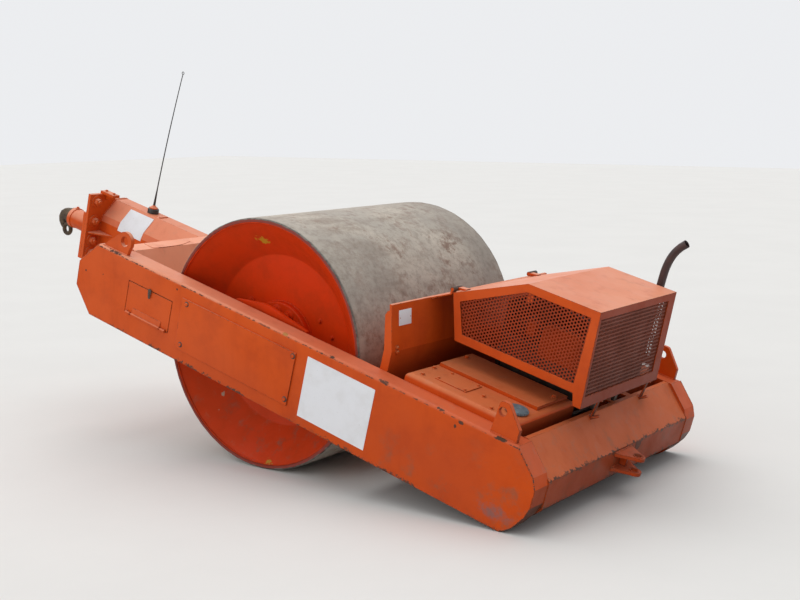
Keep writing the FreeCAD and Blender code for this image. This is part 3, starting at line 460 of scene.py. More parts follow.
class Tree(Graph):
    """A material's nodes, and the colour that its coats have made so far."""

    def __init__(self, name, colour):
        self.colour = colour
        self.material = bpy.data.materials.new(name)
        self.material.use_nodes = True
        super().__init__(self.material.node_tree)
        self.shader = self.nodes.new("ShaderNodeBsdfPrincipled")
        self.node("ShaderNodeOutputMaterial", {0: self.shader.outputs[0]})
        self.coords = self.nodes.new("ShaderNodeTexCoord")
        self.place = self.coords.outputs["Object"]
        origin = -(Matrix.Rotation(TILT, 3, "Y") @ AXLE)
        turned = {"Vector": self.place, "Rotation": (0, TILT, 0), "Location": origin}
        # The machine's own u, y and w here, in metres
        self.spot = self.split(self.node("ShaderNodeMapping", turned, vector_type="POINT").outputs[0])

    def noise(self, scale, detail=4.0, rough=0.55, where=None, stretch=None):
        vector = self.place if where is None else where
        if stretch:
            vector = self.node("ShaderNodeMapping", {"Scale": stretch, "Vector": vector}).outputs[0]
        inputs = {"Vector": vector, "Scale": scale, "Detail": detail, "Roughness": rough}
        return self.node("ShaderNodeTexNoise", inputs).outputs[0]

    def span(self, value, low, high, to_low=0.0, to_high=1.0):
        """The value's range low to high, as a soft step between two others."""
        inputs = dict(enumerate((value, low, high, to_low, to_high)))
        return self.node("ShaderNodeMapRange", inputs, interpolation_type="SMOOTHSTEP").outputs[0]

    def mix(self, share, first, second):
        return self.node("ShaderNodeMix", {0: share, 6: first, 7: second}, data_type="RGBA").outputs[2]

    def tint(self, share, tone):
        """Lay a tone over a share of the colour so far."""
        self.colour = self.mix(share, self.colour, tone)

    def split(self, vector):
        return self.node("ShaderNodeSeparateXYZ", {0: vector}).outputs

    def edge(self, radius):
        """How sharp the surface is here, and its normal with rounded edges."""
        rounded = self.node("ShaderNodeBevel", {"Radius": radius}, samples=4).outputs[0]
        flat = self.nodes.new("ShaderNodeNewGeometry").outputs["Normal"]
        alike = self.node("ShaderNodeVectorMath", {0: rounded, 1: flat}, operation="DOT_PRODUCT")
        return self.minus(1.0, alike.outputs["Value"]), rounded

    def relief(self, height, strength, distance, normal=None):
        bump = self.node("ShaderNodeBump", {"Strength": strength, "Distance": distance, "Height": height})
        if normal is not None:
            self.links.new(normal, bump.inputs["Normal"])
        self.links.new(bump.outputs[0], self.shader.inputs["Normal"])

    def finish(self, rough, specular=0.5, metallic=0.0):
        self.feed(self.shader.inputs["Base Color"], self.colour)
        self.feed(self.shader.inputs["Roughness"], rough)
        self.shader.inputs["Specular IOR Level"].default_value = specular
        self.shader.inputs["Metallic"].default_value = metallic
        return self.material


def scaled(colour, share, lift=0.0):
    """The colour made darker or lighter."""
    return tuple(min(1, c * share + lift) for c in colour)


def mark(tree, place, reach, squash, soft):
    """How much of a mark lies here: an uneven patch about a place on the machine, in millimetres."""
    total = 0.0
    for here, middle, scale in zip(tree.spot, place, (1, 1, squash)):
        gap = tree.times(tree.minus(here, middle * MM), scale / (reach * MM))
        total = tree.plus(total, tree.times(gap, gap))
    uneven = tree.plus(total, tree.span(tree.noise(32.0, 6.0, 0.7), 0.35, 0.65, -0.5, 1.0))
    return tree.span(uneven, 1.0 + soft, 0.9 - soft)


# Tones of dirt and rust, and of painted shade
DUST, MUD, UNDER_DIRT_AND_SHADE, REAR_SHADE_TONE = (0.33, 0.26, 0.2), (0.2, 0.1, 0.06), (0.05, 0.024, 0.015), (0.15, 0.014, 0.003)
DARK_RUST, WARM_RUST, CHIPPED = (0.06, 0.028, 0.018), (0.16, 0.06, 0.03), (0.1, 0.045, 0.03)
CHIP, PIN, DRY_DIRT = (0.09, 0.04, 0.025), (0.05, 0.03, 0.02), (0.4, 0.3, 0.22)
DRUM_DUST, DRUM_STAIN, DRUM_GRAIN = (0.19, 0.145, 0.115), (0.2, 0.14, 0.1), (0.12, 0.09, 0.07)
DRUM_RUST, DRUM_CRUST, DRUM_SHADE = (0.2, 0.105, 0.068), (0.055, 0.045, 0.038), (0.17, 0.14, 0.12)
# Chips on the top edge of the left beam: u and reach in mm, squash in height, colour
EDGE_CHIPS = (
    (-1399, 28, 4.0, CHIP), (-1012, 36, 5.0, CHIP), (-643, 24, 4.0, CHIP), (-300, 22, 3.0, (0.45, 0.2, 0.06)),
    (-1778, 34, 4.0, (0.07, 0.035, 0.02)), (1150, 55, 6.0, CHIPPED),
)
# Marks on the left beam, a graze at the tail first: place u, y, w and reach in mm, squash, softness, colour
BEAM_MARKS = (
    ((-1850, BEAM_OUT, -176), 88, 2.6, 1.3, (0.27, 0.105, 0.085)),
    ((-1535, BEAM_OUT, 192), 26, 3.0, 0.2, CHIP),
    ((-1506, BEAM_OUT, 160), 11, 1.0, 0.2, CHIP),
    ((571, BEAM_OUT, 164), 7, 1.0, 0.1, (0.05, 0.025, 0.02)),
    ((891, BEAM_OUT, -282), 10, 1.0, 0.1, PIN),
    ((1222, BEAM_OUT, 34), 7, 1.0, 0.1, PIN),
    ((1381, BEAM_OUT, 6), 7, 1.0, 0.1, PIN),
    *(((u, BEAM_OUT - 5, BEAM_TOP - 6), reach, squash, 0.2, tone) for u, reach, squash, tone in EDGE_CHIPS),
)
# Yellow paint and dried dirt in the drum's left end
DRUM_MARKS = (
    ((216, 690, 572), 44, 1.6, 0.2, (0.5, 0.25, 0.02)),
    ((-231, 760, -684), 40, 1.4, 0.2, (0.45, 0.24, 0.03)),
    ((336, 640, -489), 24, 1.0, 0.4, DRY_DIRT),
    ((297, 700, -582), 20, 1.0, 0.4, DRY_DIRT),
)
# Worn straight edges: the axis that places them (0 along, 1 across), the place, the height and the reach, mm
BEAM_EDGES = ((1, BEAM_OUT - 2, BEAM_TOP - 12, 5), (1, BEAM_OUT, BEAM_BOTTOM + 2, 18))
DECK_EDGES = ((0, REAR_TIP, BEAM_HIGH, 20), (0, REAR_TIP, BEAM_LOW, 26))


def worn_line(tree, axis, place, w, reach):
    """How much is chipped here along a straight edge."""
    across = tree.minus(tree.spot[axis], place * MM)
    up = tree.minus(tree.spot[2], w * MM)
    gap = tree.math("SQRT", tree.plus(tree.times(across, across), tree.times(up, up)))
    ragged = tree.span(tree.noise(38.0, 7.0, 0.7), 0.35, 0.66, -0.5 * reach * MM, 1.25 * reach * MM)
    chipped = tree.span(tree.minus(ragged, gap), 0.0, 0.3 * reach * MM)
    return tree.times(chipped, tree.span(tree.noise(3.5, 3.0), 0.36, 0.5, 0.15, 1.0))


def paint_finish(name, base, faded_and_sheen, shaded, bleach=1.0, grime=0.35, wear=1.0, bevel=0.006, film=0.0, marks=(),
                 mud_tone=MUD, edges=()):
    """Weathered paint: bleached on top with a painted sheen there, streaked and dusty lower down, darkened by
    painted shade on faces turned down and to the rear, chipped at its edges.
    """
    tree = Tree(name, base)
    broad = tree.noise(1.1, 3.0)
    patchy = tree.noise(6.0, 6.0, 0.65)
    fine = tree.noise(70.0, 4.0, 0.6)
    facing = tree.split(tree.coords.outputs["Normal"])
    height = tree.split(tree.place)[2]
    # Older patches, and paint that the sky has bleached, which on top is also a painted sheen
    tree.tint(tree.span(patchy, 0.38, 0.78, 0.0, 0.45), shaded)
    tree.tint(tree.span(broad, 0.3, 0.7, 0.0, 0.07), faded_and_sheen)
    upward = tree.span(facing[2], 0.05, 0.62)
    exposed = tree.times(upward, tree.span(height, 0.62, 1.12, 0.3, 1.0))
    top = tree.times(exposed, tree.span(broad, 0.25, 0.75, 0.7 * bleach, bleach))
    tree.tint(top, faded_and_sheen)
    # Streaks, and paint darker towards the bottom
    streaks = tree.noise(7.0, 5.0, 0.6, stretch=(1.6, 1.6, 0.2))
    tree.tint(tree.span(streaks, 0.5, 0.85, 0.0, grime), shaded)
    darker_low = tree.times(tree.span(height, 0.95, 0.35), tree.span(broad, 0.3, 0.7, 0.2, 0.5))
    tree.tint(darker_low, shaded)
    # Painted shade on faces turned to the rear, dirt and painted shade underneath, mud low down and dust on
    # top
    if film:
        tree.tint(tree.span(facing[0], -0.7, -0.9, 0.0, film), REAR_SHADE_TONE)
    # Painted shade and dirt on faces turned down, strongest low down
    downward = tree.span(facing[2], -0.05, -0.45, 0.0, 0.92)
    tree.tint(tree.times(downward, tree.span(height, 0.5, 0.9, 1.0, 0.15)), UNDER_DIRT_AND_SHADE)
    low = tree.span(height, 0.05, 0.6, 1.0, 0.0)
    mud = tree.times(low, tree.span(tree.noise(7.0, 8.0, 0.7), 0.5, 0.72, 0.0, 0.75))
    tree.tint(mud, mud_tone)
    dust = tree.times(upward, tree.span(tree.noise(14.0, 7.0, 0.7), 0.5, 0.8, 0.0, 0.22))
    tree.tint(dust, DUST)
    # Chipped edges; the tail drags on the ground, so its edges are the most worn
    sharp, rounded = tree.edge(bevel)
    dragged = tree.span(tree.spot[0], -1.74, -1.92, 0.0, 0.07)
    ragged = tree.plus(tree.noise(26.0, 8.0, 0.7), dragged)
    chips = tree.times(tree.span(sharp, 0.02, 0.12), tree.span(ragged, 0.52, 0.58, 0.0, wear))
    stray = tree.span(tree.noise(11.0, 10.0, 0.62), 0.735, 0.75, 0.0, wear)
    bare = tree.math("MAXIMUM", chips, stray)
    tree.tint(bare, tree.mix(tree.span(fine, 0.35, 0.65), DARK_RUST, WARM_RUST))
    for edge in edges:
        tree.tint(worn_line(tree, *edge), CHIPPED)
    for *patch, tone in marks:
        tree.tint(mark(tree, *patch), tone)
    rough = tree.span(patchy, 0.3, 0.7, 0.36, 0.52)
    rough = tree.math("MAXIMUM", rough, tree.times(tree.math("MAXIMUM", bare, mud), 0.85))
    tree.relief(tree.minus(tree.times(fine, 0.5), tree.times(bare, 0.9)), 0.3, 0.0012, rounded)
    return tree.finish(rough, specular=0.12)


def steel_finish(name, steel, painted):
    """The drum's skin: ground bright by gravel, dulled by dust and brushed with rust."""
    tree = Tree(name, steel)
    u, y, w = tree.spot
    angle = tree.math("ARCTAN2", w, u)
    radius = tree.math("SQRT", tree.plus(tree.times(u, u), tree.times(w, w)))
    out = tree.math("ABSOLUTE", y)
    true_radius, half = DRUM["radius"] * MM, DRUM["half"] * MM
    # Marks that are drawn out across the drum
    wrap = {i: tree.times(tree.math(turn, angle), true_radius) for i, turn in enumerate(("SINE", "COSINE"))}
    wrap[2] = tree.times(y, 0.28)
    brushed = tree.noise(4.2, 7.0, 0.66, where=tree.node("ShaderNodeCombineXYZ", wrap).outputs[0])
    cloudy = tree.noise(1.7, 5.0, 0.6)
    mottled = tree.noise(24.0, 8.0, 0.72)
    grains = tree.noise(160.0, 3.0, 0.6)
    tree.tint(tree.span(cloudy, 0.3, 0.7), scaled(steel, 1.7))
    tree.tint(tree.span(mottled, 0.42, 0.68, 0.0, 0.5), DRUM_DUST)
    tree.tint(tree.span(brushed, 0.52, 0.7, 0.0, 0.5), DRUM_STAIN)
    tree.tint(tree.span(grains, 0.56, 0.8, 0.0, 0.55), DRUM_GRAIN)
    blotches = tree.span(tree.noise(9.0, 8.0, 0.75), 0.5, 0.62)
    tree.tint(tree.times(blotches, tree.span(cloudy, 0.38, 0.62, 0.2, 0.8)), DRUM_RUST)
    # A dark crust on the rim, and inside it the paint of the drum's ends, run out over the cut edge
    edge = tree.span(radius, true_radius - 0.0045, true_radius - 0.0105)
    rim = tree.span(out, half - 0.018, half - 0.001)
    crust = tree.times(tree.math("MAXIMUM", edge, rim), tree.span(mottled, 0.4, 0.6, 0.7, 1.0))
    tree.tint(crust, DRUM_CRUST)
    end_face = tree.span(out, half - 0.0075, half - 0.0035)
    ragged = tree.minus(radius, tree.span(mottled, 0.3, 0.7, 0.0, 0.006))
    inner_part = tree.span(ragged, true_radius - 0.011, true_radius - 0.015)
    tree.tint(tree.times(end_face, inner_part), painted)
    # Painted shade: the far half is darker
    tree.tint(tree.span(y, -0.15, -0.78, 0.0, 0.4), DRUM_SHADE)
    tree.relief(tree.plus(mottled, tree.times(grains, 0.4)), 0.35, 0.003)
    return tree.finish(tree.span(cloudy, 0.3, 0.7, 0.55, 0.8), metallic=0.15)


def cast_finish(name, colour, other, rough=0.6, scale=22.0, metal=0.0, strength=0.3):
    """Rough castings, rubber, plastic and burnt pipe: two tones, a fine grain and worn edges."""
    tree = Tree(name, colour)
    patchy = tree.noise(scale, 7.0, 0.65)
    grains = tree.noise(scale * 9, 3.0, 0.6)
    tree.tint(tree.span(patchy, 0.35, 0.68), other)
    sharp, rounded = tree.edge(0.003)
    worn = tree.times(tree.span(sharp, 0.03, 0.2), tree.span(patchy, 0.4, 0.6, 0.0, 0.5))
    tree.tint(worn, scaled(other, 2.2, 0.02))
    tree.relief(tree.plus(patchy, tree.times(grains, 0.4)), strength, 0.0015, rounded)
    return tree.finish(tree.span(patchy, 0.3, 0.7, rough - 0.12, rough + 0.12), metallic=metal)


def sign_finish(name, colour):
    """White enamel with a little dust and specks of dirt."""
    tree = Tree(name, colour)
    patchy = tree.noise(9.0, 6.0, 0.6)
    specks = tree.noise(60.0, 6.0, 0.7)
    tree.tint(tree.span(patchy, 0.4, 0.8, 0.0, 0.25), (0.45, 0.42, 0.38))
    tree.tint(tree.span(specks, 0.66, 0.74, 0.0, 0.5), (0.2, 0.15, 0.11))
    tree.relief(specks, 0.08, 0.0006)
    return tree.finish(tree.span(patchy, 0.3, 0.7, 0.3, 0.45))


FINISHES = {}
# Which finish each kept node gets; every other node is painted orange
NODE_FINISHES = {
    "engine": "engine", "hood_frame": "hood", "side_beam_left": "beam", "front_beam": "front",
    "rear_beam": "deck", "tank_left": "deck", "tank_right": "deck", "tank_lid_left": "deck",
    "tank_lid_right": "deck", "bearing_bracket_left": "inner", "bearing_bracket_right": "inner",
    "rubber_mounts_left": "rubber", "rubber_mounts_right": "rubber",
}


def make_finishes(colours):
    paint, faded_and_sheen, shaded = colours.paint, colours.faded_and_sheen, colours.shaded
    # Material, paint, faded-and-sheen and dark tone, and what differs from plain weathered paint
    paints = {
        "paint": ("orange_paint", paint, faded_and_sheen, shaded, {}),
        "beam": ("beam_orange_paint", paint, faded_and_sheen, shaded, {"marks": BEAM_MARKS, "edges": BEAM_EDGES}),
        "deck": ("dusty_orange_paint", paint, (0.72, 0.33, 0.155), shaded,
                 {"bleach": 1.5, "mud_tone": (0.13, 0.07, 0.04), "edges": DECK_EDGES}),
        # Painted shade on the hood's faces turned to the rear
        "hood": ("hood_orange_paint", paint, faded_and_sheen, shaded, {"film": 0.7}),
        # Painted light: the front beam gets a paler faded tone and more sheen on top, lighter than the rest
        # of the paint
        "front": ("sun_bleached_orange_paint", paint, (0.93, 0.4, 0.25), shaded, {"bleach": 1.2}),
        "inner": ("inner_orange_paint", colours.drum_end, scaled(paint, 0.8), shaded,
                  {"bleach": 0.15, "grime": 0.3, "wear": 0.6, "marks": DRUM_MARKS,
                   "mud_tone": (0.17, 0.05, 0.025)}),
        "grille": ("grille_orange_paint", (0.33, 0.042, 0.01), (0.45, 0.12, 0.06), (0.16, 0.022, 0.008),
                   {"bleach": 0.3, "grime": 0.3, "wear": 0.3, "bevel": 0.001}),
        # Painted shade: a darker copy of the orange paint, for the rear screen and the notch beside the hitch
        "screen": ("screen_dull_paint", (0.2, 0.032, 0.01), (0.26, 0.07, 0.03), (0.08, 0.018, 0.01),
                   {"bleach": 0.2, "grime": 0.3, "wear": 0.4, "bevel": 0.001}),
    }
    # Material, its two tones, roughness, scale of its grain, share of metal and strength of its relief
    castings = {
        "iron": ("dark_iron", colours.iron, (0.09, 0.05, 0.032), 0.62, 18.0, 0.2),
        "forged": ("forged_eye_steel", (0.085, 0.052, 0.022), (0.04, 0.025, 0.017), 0.6, 24.0, 0.3),
        "engine": ("engine_iron", (0.036, 0.026, 0.02), (0.075, 0.052, 0.038), 0.55, 12.0, 0.3),
        "pipe": ("burnt_pipe_steel", colours.soot, (0.075, 0.04, 0.035), 0.5, 14.0, 0.25, 0.2),
        "rubber": ("black_rubber", (0.018, 0.018, 0.019), (0.035, 0.032, 0.03), 0.75, 30.0),
        "plastic": ("black_plastic", (0.012, 0.012, 0.013), (0.028, 0.027, 0.026), 0.45, 40.0),
        "cap": ("blue_grey_cap", colours.cap, scaled(colours.cap, 0.62), 0.5, 20.0),
        "rust": ("rusted_edge", (0.05, 0.025, 0.016), (0.12, 0.045, 0.022), 0.8, 40.0),
    }
    for finish, (*tones, changes) in paints.items():
        FINISHES[finish] = paint_finish(*tones, **changes)
    for finish, settings in castings.items():
        FINISHES[finish] = cast_finish(*settings)
    FINISHES["steel"] = steel_finish("drum_skin_steel", colours.steel, scaled(colours.drum_end, 0.3, 0.015))
    FINISHES["sign"] = sign_finish("white_sign", colours.sign)


class ROLLER_OT_finishes(bpy.types.Operator):
    """Make the finishes and put them on the solids that stay"""
    bl_idname = "roller.finishes"
    bl_label = "Finishes"

    def execute(self, context):
        make_finishes(context.scene.roller_colours)
        for name, node in frame["nodes"].items():
            material = FINISHES[NODE_FINISHES.get(name, "paint")]
            node.data.materials.clear()
            node.data.materials.append(material)
        return {"FINISHED"}


# Drum

class ROLLER_OT_drum(bpy.types.Operator):
    """The drum's worn skin, its dished ends with their welds, and the bolted hubs"""
    bl_idname = "roller.drum"
    bl_label = "Drum"

    def execute(self, context):
        fastenings = context.scene.roller_fastenings
        self.skin(fastenings.drum_steps)
        for sign, side in SIDES:
            self.end(sign, side, fastenings)
            self.hub(sign, side)
        return {"FINISHED"}

    def skin(self, steps):
        """The shell with a chewed rim and shallow wear, never proud of its true radius."""
        shell = Shape()
        radius, half, wall = DRUM["radius"], DRUM["half"], DRUM["wall"]
        bands, broken = 36, 6
        outer = [(-half + 2 * half * i / bands, radius) for i in range(bands + 1)]
        outer[0], outer[-1] = (broken - half, radius), (half - broken, radius)
        profile = [(-half, radius - broken), *outer, (half, radius - broken), (half, radius - wall),
                   (-half, radius - wall)]
        rings = []
        for across, distance in profile:
            ring = []
            for a, b in circle(1.0, steps):
                loss = 0.0
                if distance > radius - wall:
                    loss = 0.9 + 0.9 * noise.noise(Vector((a, across * 0.0035, b)) * 3.1)
                    if abs(across) > half - broken - 2:
                        loss += 2.2 + 2.2 * noise.noise(Vector((a * 16, b * 16, across)))
                ring.append(((distance - loss) * a, across, (distance - loss) * b))
            rings.append(ring)
        rings.append(rings[0])
        shell.rings(rings, caps=False)
        shell.piece("drum_skin", "steel", "drum", ["drum_shell"], smooth=30)

    def end(self, sign, side, fastenings):
        """The dished end: flat disc, conical band, and weld beads at both bends."""
        rim = DRUM["radius"] - DRUM["wall"]
        disc, inner, edge = DRUM["disc"], DRUM["disc_y"], DRUM["half"] - DRUM["lip"]
        back = inner - DRUM["plate"]
        profile = [
            (inner, 0), (inner, HUB["radius"] - 4), (inner, disc - 8), (inner + 1.5, disc - 2),
            (inner + 5, disc + 4), (edge - 5, rim - 4), (edge - 1, rim - 0.4), (edge - 2, rim),
            (edge - DRUM["plate"], rim), (back, disc + DRUM["plate"] / 2), (back, 0),
        ]
        end = Shape()
        end.turned([(sign * across, radius) for across, radius in profile], (0, 0, 0), Y_AXIS, 160)
        end.piece("drum_end_" + side, "inner", "drum", ["drum_head_" + side], smooth=24)
        fittings = Shape()
        for radius, across, thick in ((rim - 4, edge - 2, 5), (HUB["radius"] + 3, inner + 2, 6)):
            ring = [(radius * a, sign * across, radius * b) for a, b in circle(1.0, 150)]
            widths = [thick * (1 + 0.18 * math.sin(i * 2.1) + 0.3 * noise.noise(Vector((i * 0.23, sign, 0))))
                      for i in range(len(ring))]
            fittings.tube(ring + ring[:1], widths + widths[:1], 6, caps=False)
        # Filler plug, and two drain plugs
        out, plug_u, plug_w = (0, sign, 0), 287, 155
        fittings.turned([(0, 24), (7, 24), (9, 22)], (plug_u, sign * (inner - SUNK), plug_w), out, 24)
        fittings.bolt((plug_u, sign * (inner + 8), plug_w), out, 24, washer=False)
        for u, w in ((-254, 217), (-364, 152)):
            fittings.bolt((u, sign * (inner - SUNK), w), out, fastenings.small_bolt)
        fittings.piece("drum_end_fittings_" + side, "inner", "drum")

    def hub(self, sign, side):
        """The hub's bolted plate, its boss and the stub axle."""
        start, radius, boss, boss_end = DRUM["disc_y"], HUB["radius"], HUB["boss"], HUB["boss_end"]
        face, axle, axle_end = start + HUB["plate"], HUB["axle"], HUB["axle_end"]
        profile = [
            (start, 0), (start, radius - 1), (start + 2, radius), (face - 5, radius), (face, radius - 5),
            (face, boss + 14), (face + 3, boss + 5), (face + 14, boss), (boss_end - 5, boss),
            (boss_end, boss - 5), (boss_end, axle + 3), (boss_end + 2, axle), (axle_end - 3, axle),
            (axle_end, axle - 3), (axle_end, 0),
        ]
        hub = Shape()
        hub.turned([(sign * across, r) for across, r in profile], (0, 0, 0), Y_AXIS, 96)
        bolts, circle_radius = 12, 186
        for a, b in circle(circle_radius, bolts, math.pi / bolts):
            hub.bolt((a, sign * (face - SUNK), b), (0, sign, 0), HUB_BOLT)
        hub.piece("drum_hub_" + side, "inner", "drum", ["hub_" + side], smooth=30)


# Side beams and what is bolted to them

class ROLLER_OT_beams(bpy.types.Operator):
    """Welds, cover bolts, door latches and the blank sign on the side beams"""
    bl_idname = "roller.beams"
    bl_label = "Side beams"

    def execute(self, context):
        fastenings = context.scene.roller_fastenings
        for sign, side in SIDES:
            self.rust(sign, side, fastenings.weld)
            self.welds(sign, side, fastenings.weld)
            self.covers(sign, side, fastenings.cover_bolt)
            self.latch(sign, side)
            self.buffers(sign, side)
            self.rivets(sign, side)
        self.board()
        return {"FINISHED"}

    def rust(self, sign, side, weld):
        """Rust in broken runs along the end cap's edge."""
        rust = Shape()
        for stretch, share in CAP_RUST.items():
            first, last = (Vector((u, sign * (BEAM_OUT - 1), w)) for u, w in END_CAP[stretch:stretch + 2])
            pieces = max(2, int((last - first).length / 26))
            for i in range(pieces):
                gap = noise.noise(Vector((i * 0.9, first.x * 0.01, sign)))
                if gap < share:
                    rust.bead(first.lerp(last, (i + 0.05) / pieces), first.lerp(last, (i + 0.95) / pieces),
                              weld * (0.62 + 0.2 * gap))
        rust.piece("edge_rust_" + side, "rust")

    def welds(self, sign, side, weld):
        """Beads of the end caps, cross beams and lifting lugs."""
        trim = Shape()
        edge, joint = sign * (BEAM_OUT - 1), sign * BEAM_IN
        # The end caps' welds round both ends of the beam
        trim.beads([(u, edge, w) for u, w in END_CAP], weld * 0.6)
        trim.beads([(FRONT_TOP, edge, BEAM_TOP - 3), (FRONT_TIP - 3, edge, BEAM_HIGH),
                    (FRONT_TIP - 3, edge, BEAM_LOW), (FRONT_TOP, edge, BEAM_BOTTOM + 3)], weld * 0.45)
        # Where the cross beams butt against the side beam
        trim.beads([(-1834, joint, BEAM_TOP), (REAR_TOP, joint, BEAM_TOP), (REAR_TIP, joint, BEAM_HIGH),
                    (REAR_TIP, joint, BEAM_LOW), (-1914, joint, BEAM_BOTTOM + 24)], weld * 0.8)
        trim.beads([(u, joint, w) for u, w in FRONT_BEAM], weld)
        step = (FRONT_BEAM_BACK, joint, FRONT_BEAM_STEP)
        trim.bead((FRONT_BEAM_BACK, joint, BEAM_BOTTOM), step, weld)
        trim.bead(step, (FRONT_BEAM[0][0], joint, BEAM_TOP), weld)
        # Both faces of the lifting lugs
        lug = sign * (BEAM_OUT - LUG_INSET)
        for start, end in LUG_FEET:
            for face in (lug, lug - sign * LUG_THICK):
                trim.bead((start, face, BEAM_TOP), (end, face, BEAM_TOP), weld)
        trim.piece("beam_welds_" + side)

    def covers(self, sign, side, flats):
        """Four bolts on the long cover plate, each with a big washer."""
        washers, heads = Shape(), Shape()
        reach, out = flats / math.sqrt(3), (0, sign, 0)
        head = [(0.5, reach), (6, reach), (7.5, reach * HEAD["crown"]), (7.5, 0)]
        for u, w in ((466, 108), (466, -151), (-394, 112), (-394, -152)):
            place = (u, sign * (COVER_FACE - SUNK), w)
            washers.turned([(0, 17), (1.2, 17), (1.8, 16), (1.8, 0)], place, out, 24)
            heads.turned(head, place, out, 6)
        washers.piece("cover_washers_" + side, "iron")
        heads.piece("cover_bolts_" + side)

    def latch(self, sign, side):
        """The door's keyhole flap and its button."""
        latch = Shape()
        plate = sign * COVER_FACE
        outline = [(772, 86), (788, 92), (800, 84), (797, 60), (791, 30), (779, 28), (774, 52)]
        latch.prism(outline, sign * -1.0, sign * 3.0, side_plane(plate), sign * 0.8)
        latch.turned([(-1, 9), (5, 9), (7, 7), (7, 0)], (786, plate, 62), (0, sign, 0), 20)
        latch.piece("door_latch_" + side, "iron", "hatch_" + side)

    def buffers(self, sign, side):
        """Nuts of the rubber buffers, on the bearing carrier's inner side."""
        buffers = Shape()
        for u in (-255, 255):
            for w in (-130, 130):
                buffers.bolt((u, sign * 775.5, w), (0, -sign, 0), HUB_BOLT, stub=8)
        buffers.piece("buffer_bolts_" + side, "inner")

    def rivets(self, sign, side):
        """A rivet low in each end of the door, 14 mm in from its edge."""
        rivets = Shape()
        for u in (DOOR_REAR + 14, DOOR_FRONT - 14):
            place = (u, sign * (BEAM_OUT - SUNK), -112)
            rivets.turned([(0, 5), (2, 5), (3, 4), (3, 0)], place, (0, sign, 0), 12)
        rivets.piece("door_rivets_" + side, "paint", "hatch_" + side)

    def board(self):
        """The sign on the left beam, left blank."""
        board = Shape()
        corners = [(-494, 150), (-981, 146), (-986, -212), (-498, -209)]
        board.prism(corners, 0, 2.2, side_plane(BEAM_OUT), 0.6)
        board.piece("beam_sign", "sign")


# Drawbar, aerial and tow eye

def front_slope(w):
    """How far forward the front beam's face lies at a height, where the drawbar's plates are welded to it."""
    return 1228 + ((BEAM_TOP - w) * 0.97 if w > BEAM_HIGH else 158)


